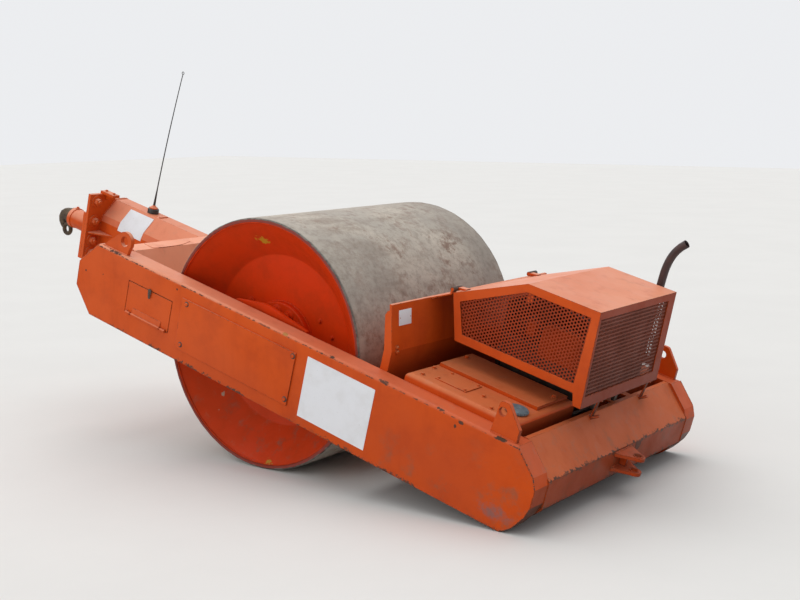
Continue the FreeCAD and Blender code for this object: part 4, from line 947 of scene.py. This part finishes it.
class ROLLER_OT_drawbar(bpy.types.Operator):
    """Flange bolts, gussets, blank sign, aerial and forged tow eye at the front"""
    bl_idname = "roller.drawbar"
    bl_label = "Drawbar"

    def execute(self, context):
        fastenings = context.scene.roller_fastenings
        self.flange_bolts(fastenings.flange_bolt)
        self.gussets()
        self.welds(fastenings.weld)
        self.sign()
        self.fittings(fastenings.small_bolt)
        self.aerial()
        self.tow_eye()
        self.collar(fastenings.small_bolt)
        return {"FINISHED"}

    def flange_bolts(self, flats):
        """Nuts behind the flange and heads on its face, and four more heads in the middle."""
        bolts = Shape()
        for y in (-230, 230):
            for w in (166, 22, -121, -215):
                # The flange's right upper corner is cut off
                if y < 0 and w > 100:
                    continue
                bolts.bolt((FLANGE_BACK + SUNK, y, w), (-1, 0, 0), flats, stub=12)
                face = FLANGE_UPPER if w > 78 else FLANGE_FACE
                bolts.bolt((face - SUNK, y, w), U_AXIS, flats)
        for y in (-80, 80):
            for w in (22, -215):
                bolts.bolt((FLANGE_FACE - SUNK, y, w), U_AXIS, flats)
        bolts.piece("flange_bolts")

    def gussets(self):
        """Two gussets behind the flange, and one that lies under the hose bracket."""
        ribs = Shape()
        back = FLANGE_BACK + SUNK
        for sign in (1, -1):
            outline = [(back, 164), (back, 276), (2172, 276), (2050, 164)]
            ribs.prism([(u, sign * y) for u, y in outline], -66, -54)
        ribs.prism([(back, 221), (back, 178), (2176, 178), (2100, 221)], 148, 158, side_plane(0))
        ribs.piece("flange_gussets")

    def welds(self, weld):
        """Beads at both ends of the drawbar's box, over its crown and round the coupling tube."""
        welds = Shape()
        section = [(52, NOSE_TOP), (150, 62), (166, 20), (166, -242)]
        for along, thick in ((lambda w: FLANGE_BACK, weld), (front_slope, weld * 0.9)):
            for sign in (1, -1):
                welds.beads([(along(w), sign * y, w) for y, w in section], thick)
        welds.bead((FLANGE_BACK, -52, NOSE_TOP), (FLANGE_BACK, 52, NOSE_TOP), weld)
        welds.loop([(FLANGE_FACE + 1, 74 * a, TUBE_W + 74 * b) for a, b in circle(1.0, 60)], 7, 6)
        welds.piece("drawbar_welds")

    def sign(self):
        """The blank sign, bent over the drawbar's left shoulder."""
        strip = [(68, 155.5), (148, 65.5), (164, 26), (168, 4)]
        board = Shape()
        rings = []
        for u in (2004, 1762):
            outer = [(u, y + 1.8, w + 1.8) for y, w in strip]
            inner = [(u, y - 0.6, w - 0.6) for y, w in reversed(strip)]
            rings.append(outer + inner)
        board.rings(rings)
        board.piece("drawbar_sign", "sign")

    def fittings(self, flats):
        """A stop behind the aerial, a thin bead over the front beam's top, and the hose bracket's cover."""
        parts = Shape()
        parts.prism([(1733, -36), (1747, -36), (1747, 40), (1733, 40)], NOSE_TOP - 1, NOSE_TOP + 6)
        top = BEAM_TOP + SUNK
        route = [(1218, 655, 211), (1132, 662, top), (1123, 640, top), (1121, 545, top), (1124, 409, top),
                 (1166, 300, top)]
        parts.tube(smooth_route(route), 2.6, 8)
        parts.piece("drawbar_fittings")
        cover = Shape()
        cover.box((2084, 127, 237), (2212, 181, 240), 1.0)
        for u in (2108, 2186):
            cover.bolt((u, 154, 240 - SUNK), W_AXIS, flats, washer=False)
        cover.piece("hose_bracket_cover")

    def aerial(self):
        """The sprung foot, its collar, and the whip that leans back to a ring at its tip."""
        u, top, lean, steps = 1853, 1206, -80, 40
        base, collar, whip = Shape(), Shape(), Shape()
        base.turned([(0, 40), (26, 40), (33, 37), (36, 30), (36, 0)], (u, 0, NOSE_TOP - SUNK), W_AXIS, 40)
        base.piece("aerial_foot", "plastic", replaces=["aerial_base"])
        collar.turned([(35, 31), (41, 30), (45, 22), (54, 12), (60, 8)], (u, 0, NOSE_TOP), W_AXIS, 40)
        collar.piece("aerial_collar")
        start = NOSE_TOP + 44
        route, radii = [], []
        for i in range(steps + 1):
            t = i / steps
            route.append((u + lean * (0.55 * t + 0.45 * t * t), 0, start + (top - 14 - start) * t))
            radii.append(9.5 - 5 * min(1, t * 7) - 1.6 * t)
        whip.tube(route, radii, 12)
        tip = Vector(route[-1])
        whip.loop([tip + Vector((9 * a, 0, 9 + 9 * b)) for a, b in circle(1.0, 24)], 2.4, 8)
        whip.piece("aerial_whip", "plastic", replaces=["aerial_rod"])

    def tow_eye(self):
        """A forged eye: round collar, flattened head, thick ring below."""
        eye = Shape()
        eye.turned([(2550, 40), (2671, 40), (2671, 62), (2674, 66), (2687, 66), (2694, 58), (2706, 46)],
                   (0, 0, TUBE_W), U_AXIS, 40)
        # The neck flattens from the collar to the plate, then bends down to the ring: u, w, half its width
        # and half its height
        stations = [
            (2690, -118, 50, 52), (2710, -118, 27, 56), (2736, -121, 21, 53), (2762, -128, 19, 48),
            (2784, -140, 18, 42), (2794, -160, 18, 37), (2790, -184, 18, 32), (2776, -206, 17, 26),
        ]
        roundness = 2.6
        rings = []
        for i, (u, w, half, tall) in enumerate(stations):
            before = stations[max(i - 1, 0)]
            after = stations[min(i + 1, len(stations) - 1)]
            along = Vector((after[0] - before[0], 0, after[1] - before[1])).normalized()
            across = Vector((-along.z, 0, along.x))
            ring = []
            for a, b in circle(1.0, 20, math.radians(9)):
                bulge = 1 / max(abs(a) ** roundness + abs(b) ** roundness, 0.2) ** (1 / roundness)
                ring.append(Vector((u, half * a * bulge, w)) + across * (tall * b * bulge))
            rings.append(ring)
        eye.rings(rings)
        centre, radius = Vector((2724, 0, -228)), 36
        eye.loop([centre + Vector((radius * a, 0, radius * b)) for a, b in circle(1.0, 48)], 15.5, 14)
        # Two roots fill the corners between the neck and the ring
        eye.tube([(2790, 0, -196), (2776, 0, -215), (2762, 0, -226)], [20, 18, 14], 14)
        eye.tube([(2698, 0, -150), (2692, 0, -180), (2690, 0, -212)], [24, 19, 13], 14)
        eye.piece("forged_tow_eye", "forged", "tow_eye", ["tow_eye"], smooth=45)

    def collar(self, flats):
        """The clamp at the coupling tube's end, with its bolt."""
        collar = Shape()
        collar.turned([(2628, 73), (2630, 77), (2661, 77), (2665, 74), (2665, 42), (2650, 42)],
                      (0, 0, TUBE_W), U_AXIS, 48)
        collar.bolt((2640, 0, TUBE_W + 76), W_AXIS, flats)
        collar.piece("coupling_collar")


def smooth_route(points):
    """A rounded line through a few corners, by cutting them twice."""
    line = [Vector(point) for point in points]
    for _ in range(2):
        cut = [line[0]]
        for a, b in zip(line, line[1:]):
            cut += [a.lerp(b, 0.25), a.lerp(b, 0.75)]
        cut.append(line[-1])
        line = cut
    return line


# Tail

class ROLLER_OT_tail(bpy.types.Operator):
    """The hitch's welds, pin bushes, and a dark patch of painted shade beside it"""
    bl_idname = "roller.tail"
    bl_label = "Tail"

    def execute(self, context):
        weld = context.scene.roller_fastenings.weld
        trim = Shape()
        # Both faces of both hitch plates, and bushes round the pin's holes
        for w in (35, 15, -52, -72):
            trim.bead((REAR_TIP, -104, w), (REAR_TIP, 104, w), weld)
        for low, high in ((12, 38), (-75, -49)):
            bush = [(low, 24), (low, 31), (high, 31), (high, 24)]
            trim.turned(bush, (-2127, 0, 0), W_AXIS, 32, closed=True)
        trim.piece("hitch_trim")
        # Painted shade: a thin plate in the darker screen paint stands for the shaded notch in the crease
        # beside the hitch
        slot = Shape()
        outline = [(-152, 44), (-222, 40), (-226, 14), (-214, -6), (-196, -12), (-174, -4), (-160, 12)]
        slot.prism(outline, REAR_TIP - 1.5, REAR_TIP + 4, lambda a, b, height: (height, a, b), 0.6)
        slot.piece("shaded_notch_patch", "screen", slot="orange_paint")
        return {"FINISHED"}


# Engine bay

# Height of the cylinder heads' ports
PORT_W = 440


def wall_plane(y, w, out):
    """A place on the bulkhead's rear face, out mm off it; the plate leans forward above its bend."""
    lean = (WALL_CREST - WALL_BACK) / (WALL_TOP - WALL_BEND)
    return (WALL_BACK + max(0, w - WALL_BEND) * lean - out, y, w)


class ROLLER_OT_engine_bay(bpy.types.Operator):
    """Number plate, tank fittings, filler cap, exhaust pipe and engine"""
    bl_idname = "roller.engine_bay"
    bl_label = "Engine bay"

    def execute(self, context):
        fastenings = context.scene.roller_fastenings
        self.fittings(fastenings)
        self.cap()
        self.exhaust()
        self.engine(fastenings.small_bolt)
        self.shroud(fastenings.small_bolt)
        self.cooler(fastenings.small_bolt)
        return {"FINISHED"}

    def fittings(self, fastenings):
        """The blank number plate, the bulkhead's bolts and welds, and what is bolted to the tanks."""
        number = Shape()
        number.prism([(651, 459), (763, 459), (763, 541), (651, 541)], -0.5, 2.5, wall_plane, 0.5)
        number.piece("number_plate", "sign")
        trim = Shape()
        small = fastenings.small_bolt
        for y, w in ((781, 345), (779, 322), (-781, 345), (-779, 322)):
            trim.bolt(wall_plane(y, w, 0.5), (-1, 0, 0), small)
        for y in (660, 754):
            trim.turned([(0, 3), (1.5, 2.6), (2, 1.5), (2, 0)], wall_plane(y, 500, 2.3), (-1, 0, 0), 12)
        top, cover = TANK_TOP - SUNK, 266
        for sign in (1, -1):
            trim.bead(wall_plane(sign * HOOD_HALF, 569, 0), wall_plane(0, 569, 0), fastenings.weld)
            # A cover on the tank's top with its four bolts, four bolts round it, and two on the raised lid
            trim.prism([(-1399, sign * 586), (-1195, sign * 586), (-1195, sign * 744), (-1399, sign * 744)],
                       top, cover, chamfer=1.2)
            for u, y in ((-1210, 600), (-1384, 600), (-1210, 730), (-1384, 730)):
                trim.bolt((u, sign * y, cover - SUNK), W_AXIS, small * 0.8, washer=False)
            for u, y in ((-1129, 767), (-1595, 790), (-1100, 620), (-1480, 690)):
                trim.bolt((u, sign * y, top), W_AXIS, small)
            for u in (-1704, -1120):
                trim.bolt((u, sign * 334, LID_TOP - SUNK), W_AXIS, small * 1.3)
        trim.piece("bay_fittings", "deck")

    def cap(self):
        """The filler cap, with grip ribs round its edge."""
        cap = Shape()
        u, y = -1690, 690
        profile = [(-0.5, 50), (6, 50), (7, 56), (7, 61), (19, 61), (24, 57), (27, 46), (27, 20), (25, 18),
                   (25, 0)]
        cap.turned(profile, (u, y, TANK_TOP), W_AXIS, 48)
        for a, b in circle(60.5, 24):
            cap.box((u + a - 3, y + b - 3, TANK_TOP + 8), (u + a + 3, y + b + 3, TANK_TOP + 18), 1.0)
        cap.piece("tank_filler_cap", "cap", replaces=["filler_cap"], smooth=35)

    def exhaust(self):
        """The bent pipe with its foot flange and a clamp."""
        pipe = Shape()
        u, y = -1765, -530
        low, bend, high = (Vector(place) for place in ((u, y, 910), (u - 3, y, 1020), (u - 47, y, 1082)))
        route = [(u, y, TANK_TOP - 1), (u, y, 890)]
        steps = 13
        for t in (i / steps for i in range(1, steps)):
            route.append(low * (1 - t) ** 2 + bend * 2 * t * (1 - t) + high * t * t)
        route += [(u - 57, y, 1096), (u - 85, y, 1126)]
        pipe.tube(route, [24] + [23.5] * (len(route) - 2) + [24], 28, wall=3.0)
        foot = [(-2, 44), (6, 44), (8, 42), (8, 24), (-2, 24)]
        clamp = [(0, 27), (30, 27), (30, 23.5), (0, 23.5)]
        pipe.turned(foot, (u, y, TANK_TOP), W_AXIS, 36, closed=True)
        pipe.turned(clamp, (u, y, 420), W_AXIS, 32, closed=True)
        pipe.piece("exhaust_stack", "pipe", replaces=["exhaust_pipe"], smooth=40)

    def engine(self, flats):
        """An air-cooled four-cylinder diesel, kept within the space of its solid."""
        block = Shape()
        # Sump, crankcase and four feet
        block.box((-1730, -118, -226), (-1190, 118, -96), 14)
        block.box((-1738, -158, -100), (-1184, 158, 152), 10)
        for u in (-1690, -1230):
            for sign in (1, -1):
                block.box((u - 34, sign * 172 - 18, -230), (u + 34, sign * 172 + 18, -60), 5)
        for u in (-1640, -1510, -1380, -1250):
            self.cylinder(block, u, flats)
        # Inlet and exhaust pipes, and the air guide
        for y, radius in ((152, 28), (-148, 26)):
            block.tube([(-1690, y, PORT_W), (-1216, y, PORT_W)], radius, 16)
        block.box((-1730, 96, 160), (-1210, 104, 392), 3)
        # Blower with its blades
        blower_y, blower_w = -20, 300
        block.turned([(-1212, 0), (-1212, 60), (-1208, 62), (-1206, 150), (-1186, 152), (-1181, 146),
                      (-1181, 132), (-1196, 128), (-1196, 40), (-1184, 34), (-1184, 0)],
                     (0, blower_y, blower_w), U_AXIS, 40)
        for a, b in circle(86, 14):
            y, w = blower_y + a, blower_w + b
            block.box((-1196, y - 5, w - 26), (-1184, y + 5, w + 26), 1.5)
        # Oil filters and starter
        for u in (-1600, -1470):
            block.turned([(0, 44), (10, 48), (118, 48), (130, 40), (134, 20), (134, 0)], (u, 120, 20),
                         (0, 0.6, 0.8), 28)
        block.turned([(0, 44), (150, 44), (156, 38), (156, 20), (210, 20)], (-1700, -130, 20), U_AXIS, 28)
        block.piece("diesel_engine", "engine", replaces=["engine"], smooth=40)

    def cylinder(self, block, u, flats):
        """One finned barrel, its head and rocker cover with a nut, and its two ports."""
        fins = [(150, 64)]
        for base in range(158, 158 + 11 * 22, 22):
            fins += [(base, 52), (base + 3, 82), (base + 7, 82), (base + 10, 52)]
        fins.append((404, 70))
        block.turned(fins, (u, 0, 0), W_AXIS, 26)
        block.box((u - 56, -92, 402), (u + 56, 92, 486), 8)
        block.box((u - 50, -62, 484), (u + 50, 62, 548), 16)
        block.bolt((u, 0, 546), W_AXIS, flats * 1.3, washer=False)
        block.tube([(u, 88, PORT_W), (u, 130, PORT_W), (u - 14, 150, PORT_W)], 23, 14)
        block.tube([(u, -88, PORT_W), (u, -132, PORT_W)], 21, 14)

    def shroud(self, flats):
        """The orange cowling over the cylinders' rear half, and a filter's housing."""
        shroud = Shape()
        shroud.prism([(-1736, 404), (-1462, 404), (-1462, 560), (-1500, 606), (-1700, 606), (-1736, 560)],
                     152, 188, side_plane(0), 6)
        for u in (-1700, -1600, -1500):
            shroud.bolt((u, 188 - SUNK, 430), Y_AXIS, flats)
        shroud.box((-1420, 150, 500), (-1372, 196, 584), 5)
        shroud.piece("cooling_shroud")

    def cooler(self, flats):
        """Oil cooler behind the rear grille, air cleaner beside the engine, and two baffles."""
        cooler = Shape()
        back, front, low, high, left, right = -1870, -1804, 350, 776, 372, -282
        # Tanks at foot and top, side plates, fins, tubes and two legs
        for w, top in ((low, low + 44), (high - 60, high)):
            cooler.box((back, right, w), (front, left, top), 8)
        for y in (right, left - 20):
            cooler.box((back + 2, y, low + 40), (front - 2, y + 20, high - 56), 2)
        for k in range(21):
            w = low + 48 + k * 15.2
            cooler.box((back + 8, right + 18, w), (front - 8, left - 18, w + 7), 1)
        for k in range(12):
            y = right + 40 + k * 51.5
            cooler.box((back + 18, y, low + 42), (front - 18, y + 6, high - 58), 1)
        for y in (right + 90, left - 320):
            cooler.box((front - 30, y, 205), (front - 10, y + 30, low + 4), 3)
        # Air cleaner with its two bands and its hose
        cleaner = (-1700, -275, 508)
        cooler.turned([(0, 0), (0, 34), (8, 54), (20, 60), (318, 60), (326, 56), (334, 36), (336, 0)],
                      cleaner, U_AXIS, 36)
        for band in (58, 258):
            cooler.turned([(band, 60), (band, 64), (band + 22, 64), (band + 22, 60)], cleaner, U_AXIS, 36)
        cooler.tube([(-1368, -275, 508), (-1320, -275, 508), (-1290, -240, 490), (-1280, -140, 452)], 28, 18)
        # Baffle beside the air cleaner, with its bolted tabs, and the one ahead of the engine
        cooler.box((-1700, -402, 280), (-1110, -397, 562), 2)
        for u in (-1680, -1400, -1130):
            cooler.box((u - 14, -397, 280), (u + 14, -372, 285), 1)
            cooler.bolt((u, -402, 300), (0, -1, 0), flats)
        cooler.box((-1210, -206, 404), (-1190, 150, 640), 2)
        cooler.piece("cooler_and_air_cleaner", "engine")


# Hood

# Windows of the side and rear panels, and the rear panel's slope from its top down to its post's foot
WINDOW = [(-1068, 618), (-1458, 813), (-1853, 813), (-1852, 445), (-1128, 445)]
SCREEN = [(-375, 392), (438, 392), (438, 817), (-375, 817)]
HOOD_REAR, HOOD_TOP, HOOD_FOOT, HOOD_POST = -1899, 859, -1928, 328


def rear_plane(depth):
    """Places (y, w) on the hood's leaning rear panel, a distance inside its outer face."""
    lean = (HOOD_FOOT - HOOD_REAR) / (HOOD_TOP - HOOD_POST)

    def place(y, w, height=0.0):
        return (HOOD_REAR + (HOOD_TOP - w) * lean + depth + height, y, w)
    return place


class ROLLER_OT_hood(bpy.types.Operator):
    """The hood's perforated sheets, their frames, stiffeners, hinges and catches"""
    bl_idname = "roller.hood"
    bl_label = "Hood"

    def execute(self, context):
        self.grilles(context.scene.roller_grilles)
        self.stiffeners()
        self.hinges()
        self.catches()
        return {"FINISHED"}

    def grilles(self, grilles):
        """Staggered round holes at the sides, rows of slots at the rear."""
        column = grilles.pitch * math.sqrt(3) / 2
        hole = circle(grilles.hole, 12)
        for sign, side in SIDES:
            perforated("grille_" + side, side_plane(sign * (HOOD_HALF - 6.5)), offset(WINDOW, 14),
                       (column, grilles.pitch), hole, True, grilles.sheet, "grille", "hood_mesh_" + side)
        half_a, half_b = grilles.slot_wide / 2, grilles.slot_high / 2
        slot = [(half_a, -half_b), (half_a, half_b), (-half_a, half_b), (-half_a, -half_b)]
        cell = (grilles.slot_across, grilles.slot_down)
        # The rear screen's paint is darker as painted shade
        perforated("grille_rear", rear_plane(5.0), offset(SCREEN, 9), cell, slot, False, grilles.sheet,
                   "screen", "hood_mesh_rear")

    def stiffeners(self):
        """Flat bars that hold each sheet from inside, and the joint of the side's two sheets."""
        bars = Shape()
        for sign in (1, -1):
            place = side_plane(sign * (HOOD_HALF - 9))
            frame_bar(bars, offset(WINDOW, 30), offset(WINDOW, 2), 0, -sign * 3, place)
            bars.prism([(-1497, 762), (-1463, 762), (-1463, 822), (-1497, 822)], 0, -sign * 3, place, 0.8)
        frame_bar(bars, offset(SCREEN, 18), offset(SCREEN, 2), 0, 3, rear_plane(7.5))
        bars.piece("hood_stiffeners", "paint", "hood")

    def hinges(self):
        """Dark sleeves on the hinges' barrels: the inner one of each pair turns with the hood."""
        sleeve = [(0, 12.6), (1.5, 13.6), (40, 13.6), (41.5, 12.6), (41.5, 11.2), (0, 11.2)]
        for name, body, starts in (("fixed", "frame", (412, -454)), ("moving", "hood", (366, -408))):
            barrels = Shape()
            for y in starts:
                barrels.turned(sleeve, (-998, y, 664), Y_AXIS, 24, closed=True)
            barrels.piece("hood_hinge_" + name, "iron", body)

    def catches(self):
        """Sprung catches that stand on the rear beam and hold the hood's foot."""
        for y, side in ((168, "left"), (-430, "right")):
            catch = Shape()
            catch.box((-1884, y - 26, 190), (-1862, y + 26, 206), 3)
            strap = [(-1870, 200), (-1889, 327.5), (-1897, 327.5), (-1878, 198)]
            catch.prism(strap, y - 14, y + 14, side_plane(0), 1.5)
            ring = [Vector((-1892 + 20 * b, y + 25 * a, 208 - 9 * b)) for a, b in circle(1.0, 32)]
            catch.loop(ring, 5.5, 10)
            catch.turned([(0, 9), (10, 9), (12, 7), (12, 0)], (-1892, y - 30, 300), Y_AXIS, 18)
            catch.piece("hood_catch_" + side, replaces=["hood_rest_" + side])


def frame_bar(shape, outer, inner, low, high, place):
    """A flat bar bent round an opening."""
    section = ((outer, low), (outer, high), (inner, high), (inner, low), (outer, low))
    shape.rings([[place(a, b, height) for a, b in outline] for outline, height in section], caps=False)


# Stage

# The camera that was solved from the photograph: its place in metres, with u measured from the axle,
# angles in radians, lens and sensor in millimetres
CAMERA = {
    "place": (-5.0276, 6.2014, 2.0978), "yaw": -0.934, "pitch": 0.1468, "roll": -0.005,
    "lens": 56.97, "sensor": 36.0,
}


class ROLLER_OT_stage(bpy.types.Operator):
    """Pale floor, soft light and the photograph's camera"""
    bl_idname = "roller.stage"
    bl_label = "Stage"

    def execute(self, context):
        stage = context.scene.roller_stage
        self.floor(stage)
        self.light(context, stage)
        self.camera(context)
        context.scene.view_settings.view_transform = "Standard"
        return {"FINISHED"}

    def floor(self, stage):
        """A pale floor with faint clouds."""
        tree = Tree("floor_pale", stage.floor)
        tree.tint(tree.span(tree.noise(0.9, 5.0, 0.6), 0.3, 0.7, 0.0, 0.25), scaled(stage.floor, 0.9))
        tree.relief(tree.noise(30.0, 6.0, 0.6), 0.1, 0.004)
        mesh = bpy.data.meshes.new("floor")
        reach, cells = 40.0, 8
        steps = [reach * (2 * i / cells - 1) for i in range(cells + 1)]
        corners = [i * (cells + 1) + j for i in range(cells) for j in range(cells)]
        faces = [(a, a + cells + 1, a + cells + 2, a + 1) for a in corners]
        mesh.from_pydata([(x, y, 0) for x in steps for y in steps], [], faces)
        mesh.materials.append(tree.finish(0.85))
        floor = bpy.data.objects.new("floor", mesh)
        bpy.context.scene.collection.objects.link(floor)

    def light(self, context, stage):
        """A soft sky, paler where it is seen than where it lights, and two wide lamps."""
        world = bpy.data.worlds.new("studio")
        world.use_nodes = True
        context.scene.world = world
        graph = Graph(world.node_tree)
        rays = graph.nodes.new("ShaderNodeLightPath").outputs
        seen = graph.math("MAXIMUM", rays["Is Glossy Ray"], rays["Is Transmission Ray"])
        seen = graph.math("MAXIMUM", rays["Is Camera Ray"], seen)
        sky = graph.node("ShaderNodeBackground", {0: (0.93, 0.96, 1.0), 1: stage.sky}).outputs[0]
        backdrop = graph.node("ShaderNodeBackground", {0: (0.84, 0.85, 0.87), 1: 1.0}).outputs[0]
        both = graph.node("ShaderNodeMixShader", {0: seen, 1: sky, 2: backdrop})
        graph.node("ShaderNodeOutputWorld", {0: both.outputs[0]})
        for name, place, strength, wide in (("overhead", (2.0, -1.0, 8.0), stage.overhead, 80),
                                            ("fill", (2.0, 9.0, 4.0), stage.fill, 60)):
            lamp = bpy.data.lights.new(name, "SUN")
            lamp.energy = strength
            lamp.angle = math.radians(wide)
            lamp.color = (1.0, 0.985, 0.96)
            holder = bpy.data.objects.new(name, lamp)
            holder.location = place
            aim = Vector((-0.3, 0, 0.6)) - Vector(place)
            holder.rotation_euler = aim.to_track_quat("-Z", "Y").to_euler()
            context.scene.collection.objects.link(holder)

    def camera(self, context):
        """The photograph's camera, turned by its yaw, pitch and roll."""
        data = bpy.data.cameras.new("photo_camera")
        data.lens, data.sensor_width = CAMERA["lens"], CAMERA["sensor"]
        data.clip_end = 200
        holder = bpy.data.objects.new("photo_camera", data)
        yaw, pitch, roll = CAMERA["yaw"], CAMERA["pitch"], CAMERA["roll"]
        ahead = Vector((math.cos(pitch) * math.cos(yaw), math.cos(pitch) * math.sin(yaw), -math.sin(pitch)))
        right = Vector((math.sin(yaw), -math.cos(yaw), 0))
        over = right.cross(ahead)
        x_axis = right * math.cos(roll) + over * math.sin(roll)
        y_axis = over * math.cos(roll) - right * math.sin(roll)
        place = Vector(CAMERA["place"]) + Vector((AXLE.x, 0, 0))
        rows = [(x_axis[i], y_axis[i], -ahead[i], place[i]) for i in range(3)]
        holder.matrix_world = Matrix((*rows, (0, 0, 0, 1)))
        context.scene.camera = holder


class ROLLER_PT_panel(bpy.types.Panel):
    """The roller's settings and steps"""
    bl_label = "Road roller"
    bl_idname = "ROLLER_PT_panel"
    bl_space_type = "VIEW_3D"
    bl_region_type = "UI"
    bl_category = "Roller"

    def draw(self, context):
        for group in GROUPS:
            box = self.layout.box()
            box.label(text=group.__doc__)
            settings = getattr(context.scene, GROUPS[group])
            for name in group.__annotations__:
                box.prop(settings, name)
        for operator in OPERATORS:
            self.layout.operator(operator.bl_idname)


GROUPS = {
    RollerColours: "roller_colours",
    RollerGrilles: "roller_grilles",
    RollerFastenings: "roller_fastenings",
    RollerStage: "roller_stage",
}
OPERATORS = (
    ROLLER_OT_stage,
    ROLLER_OT_finishes,
    ROLLER_OT_drum,
    ROLLER_OT_beams,
    ROLLER_OT_drawbar,
    ROLLER_OT_tail,
    ROLLER_OT_engine_bay,
    ROLLER_OT_hood,
)


def register():
    for made in (*GROUPS, *OPERATORS, ROLLER_PT_panel):
        bpy.utils.register_class(made)
    for group, name in GROUPS.items():
        setattr(bpy.types.Scene, name, PointerProperty(type=group))


def unregister():
    for name in GROUPS.values():
        delattr(bpy.types.Scene, name)
    for made in (ROLLER_PT_panel, *reversed(OPERATORS), *reversed(list(GROUPS))):
        bpy.utils.unregister_class(made)


def main():
    register()
    bpy.ops.roller.stage()
    bpy.ops.roller.finishes()
    bpy.ops.roller.drum()
    bpy.ops.roller.beams()
    bpy.ops.roller.drawbar()
    bpy.ops.roller.tail()
    bpy.ops.roller.engine_bay()
    bpy.ops.roller.hood()


if __name__ == "__main__":
    main()
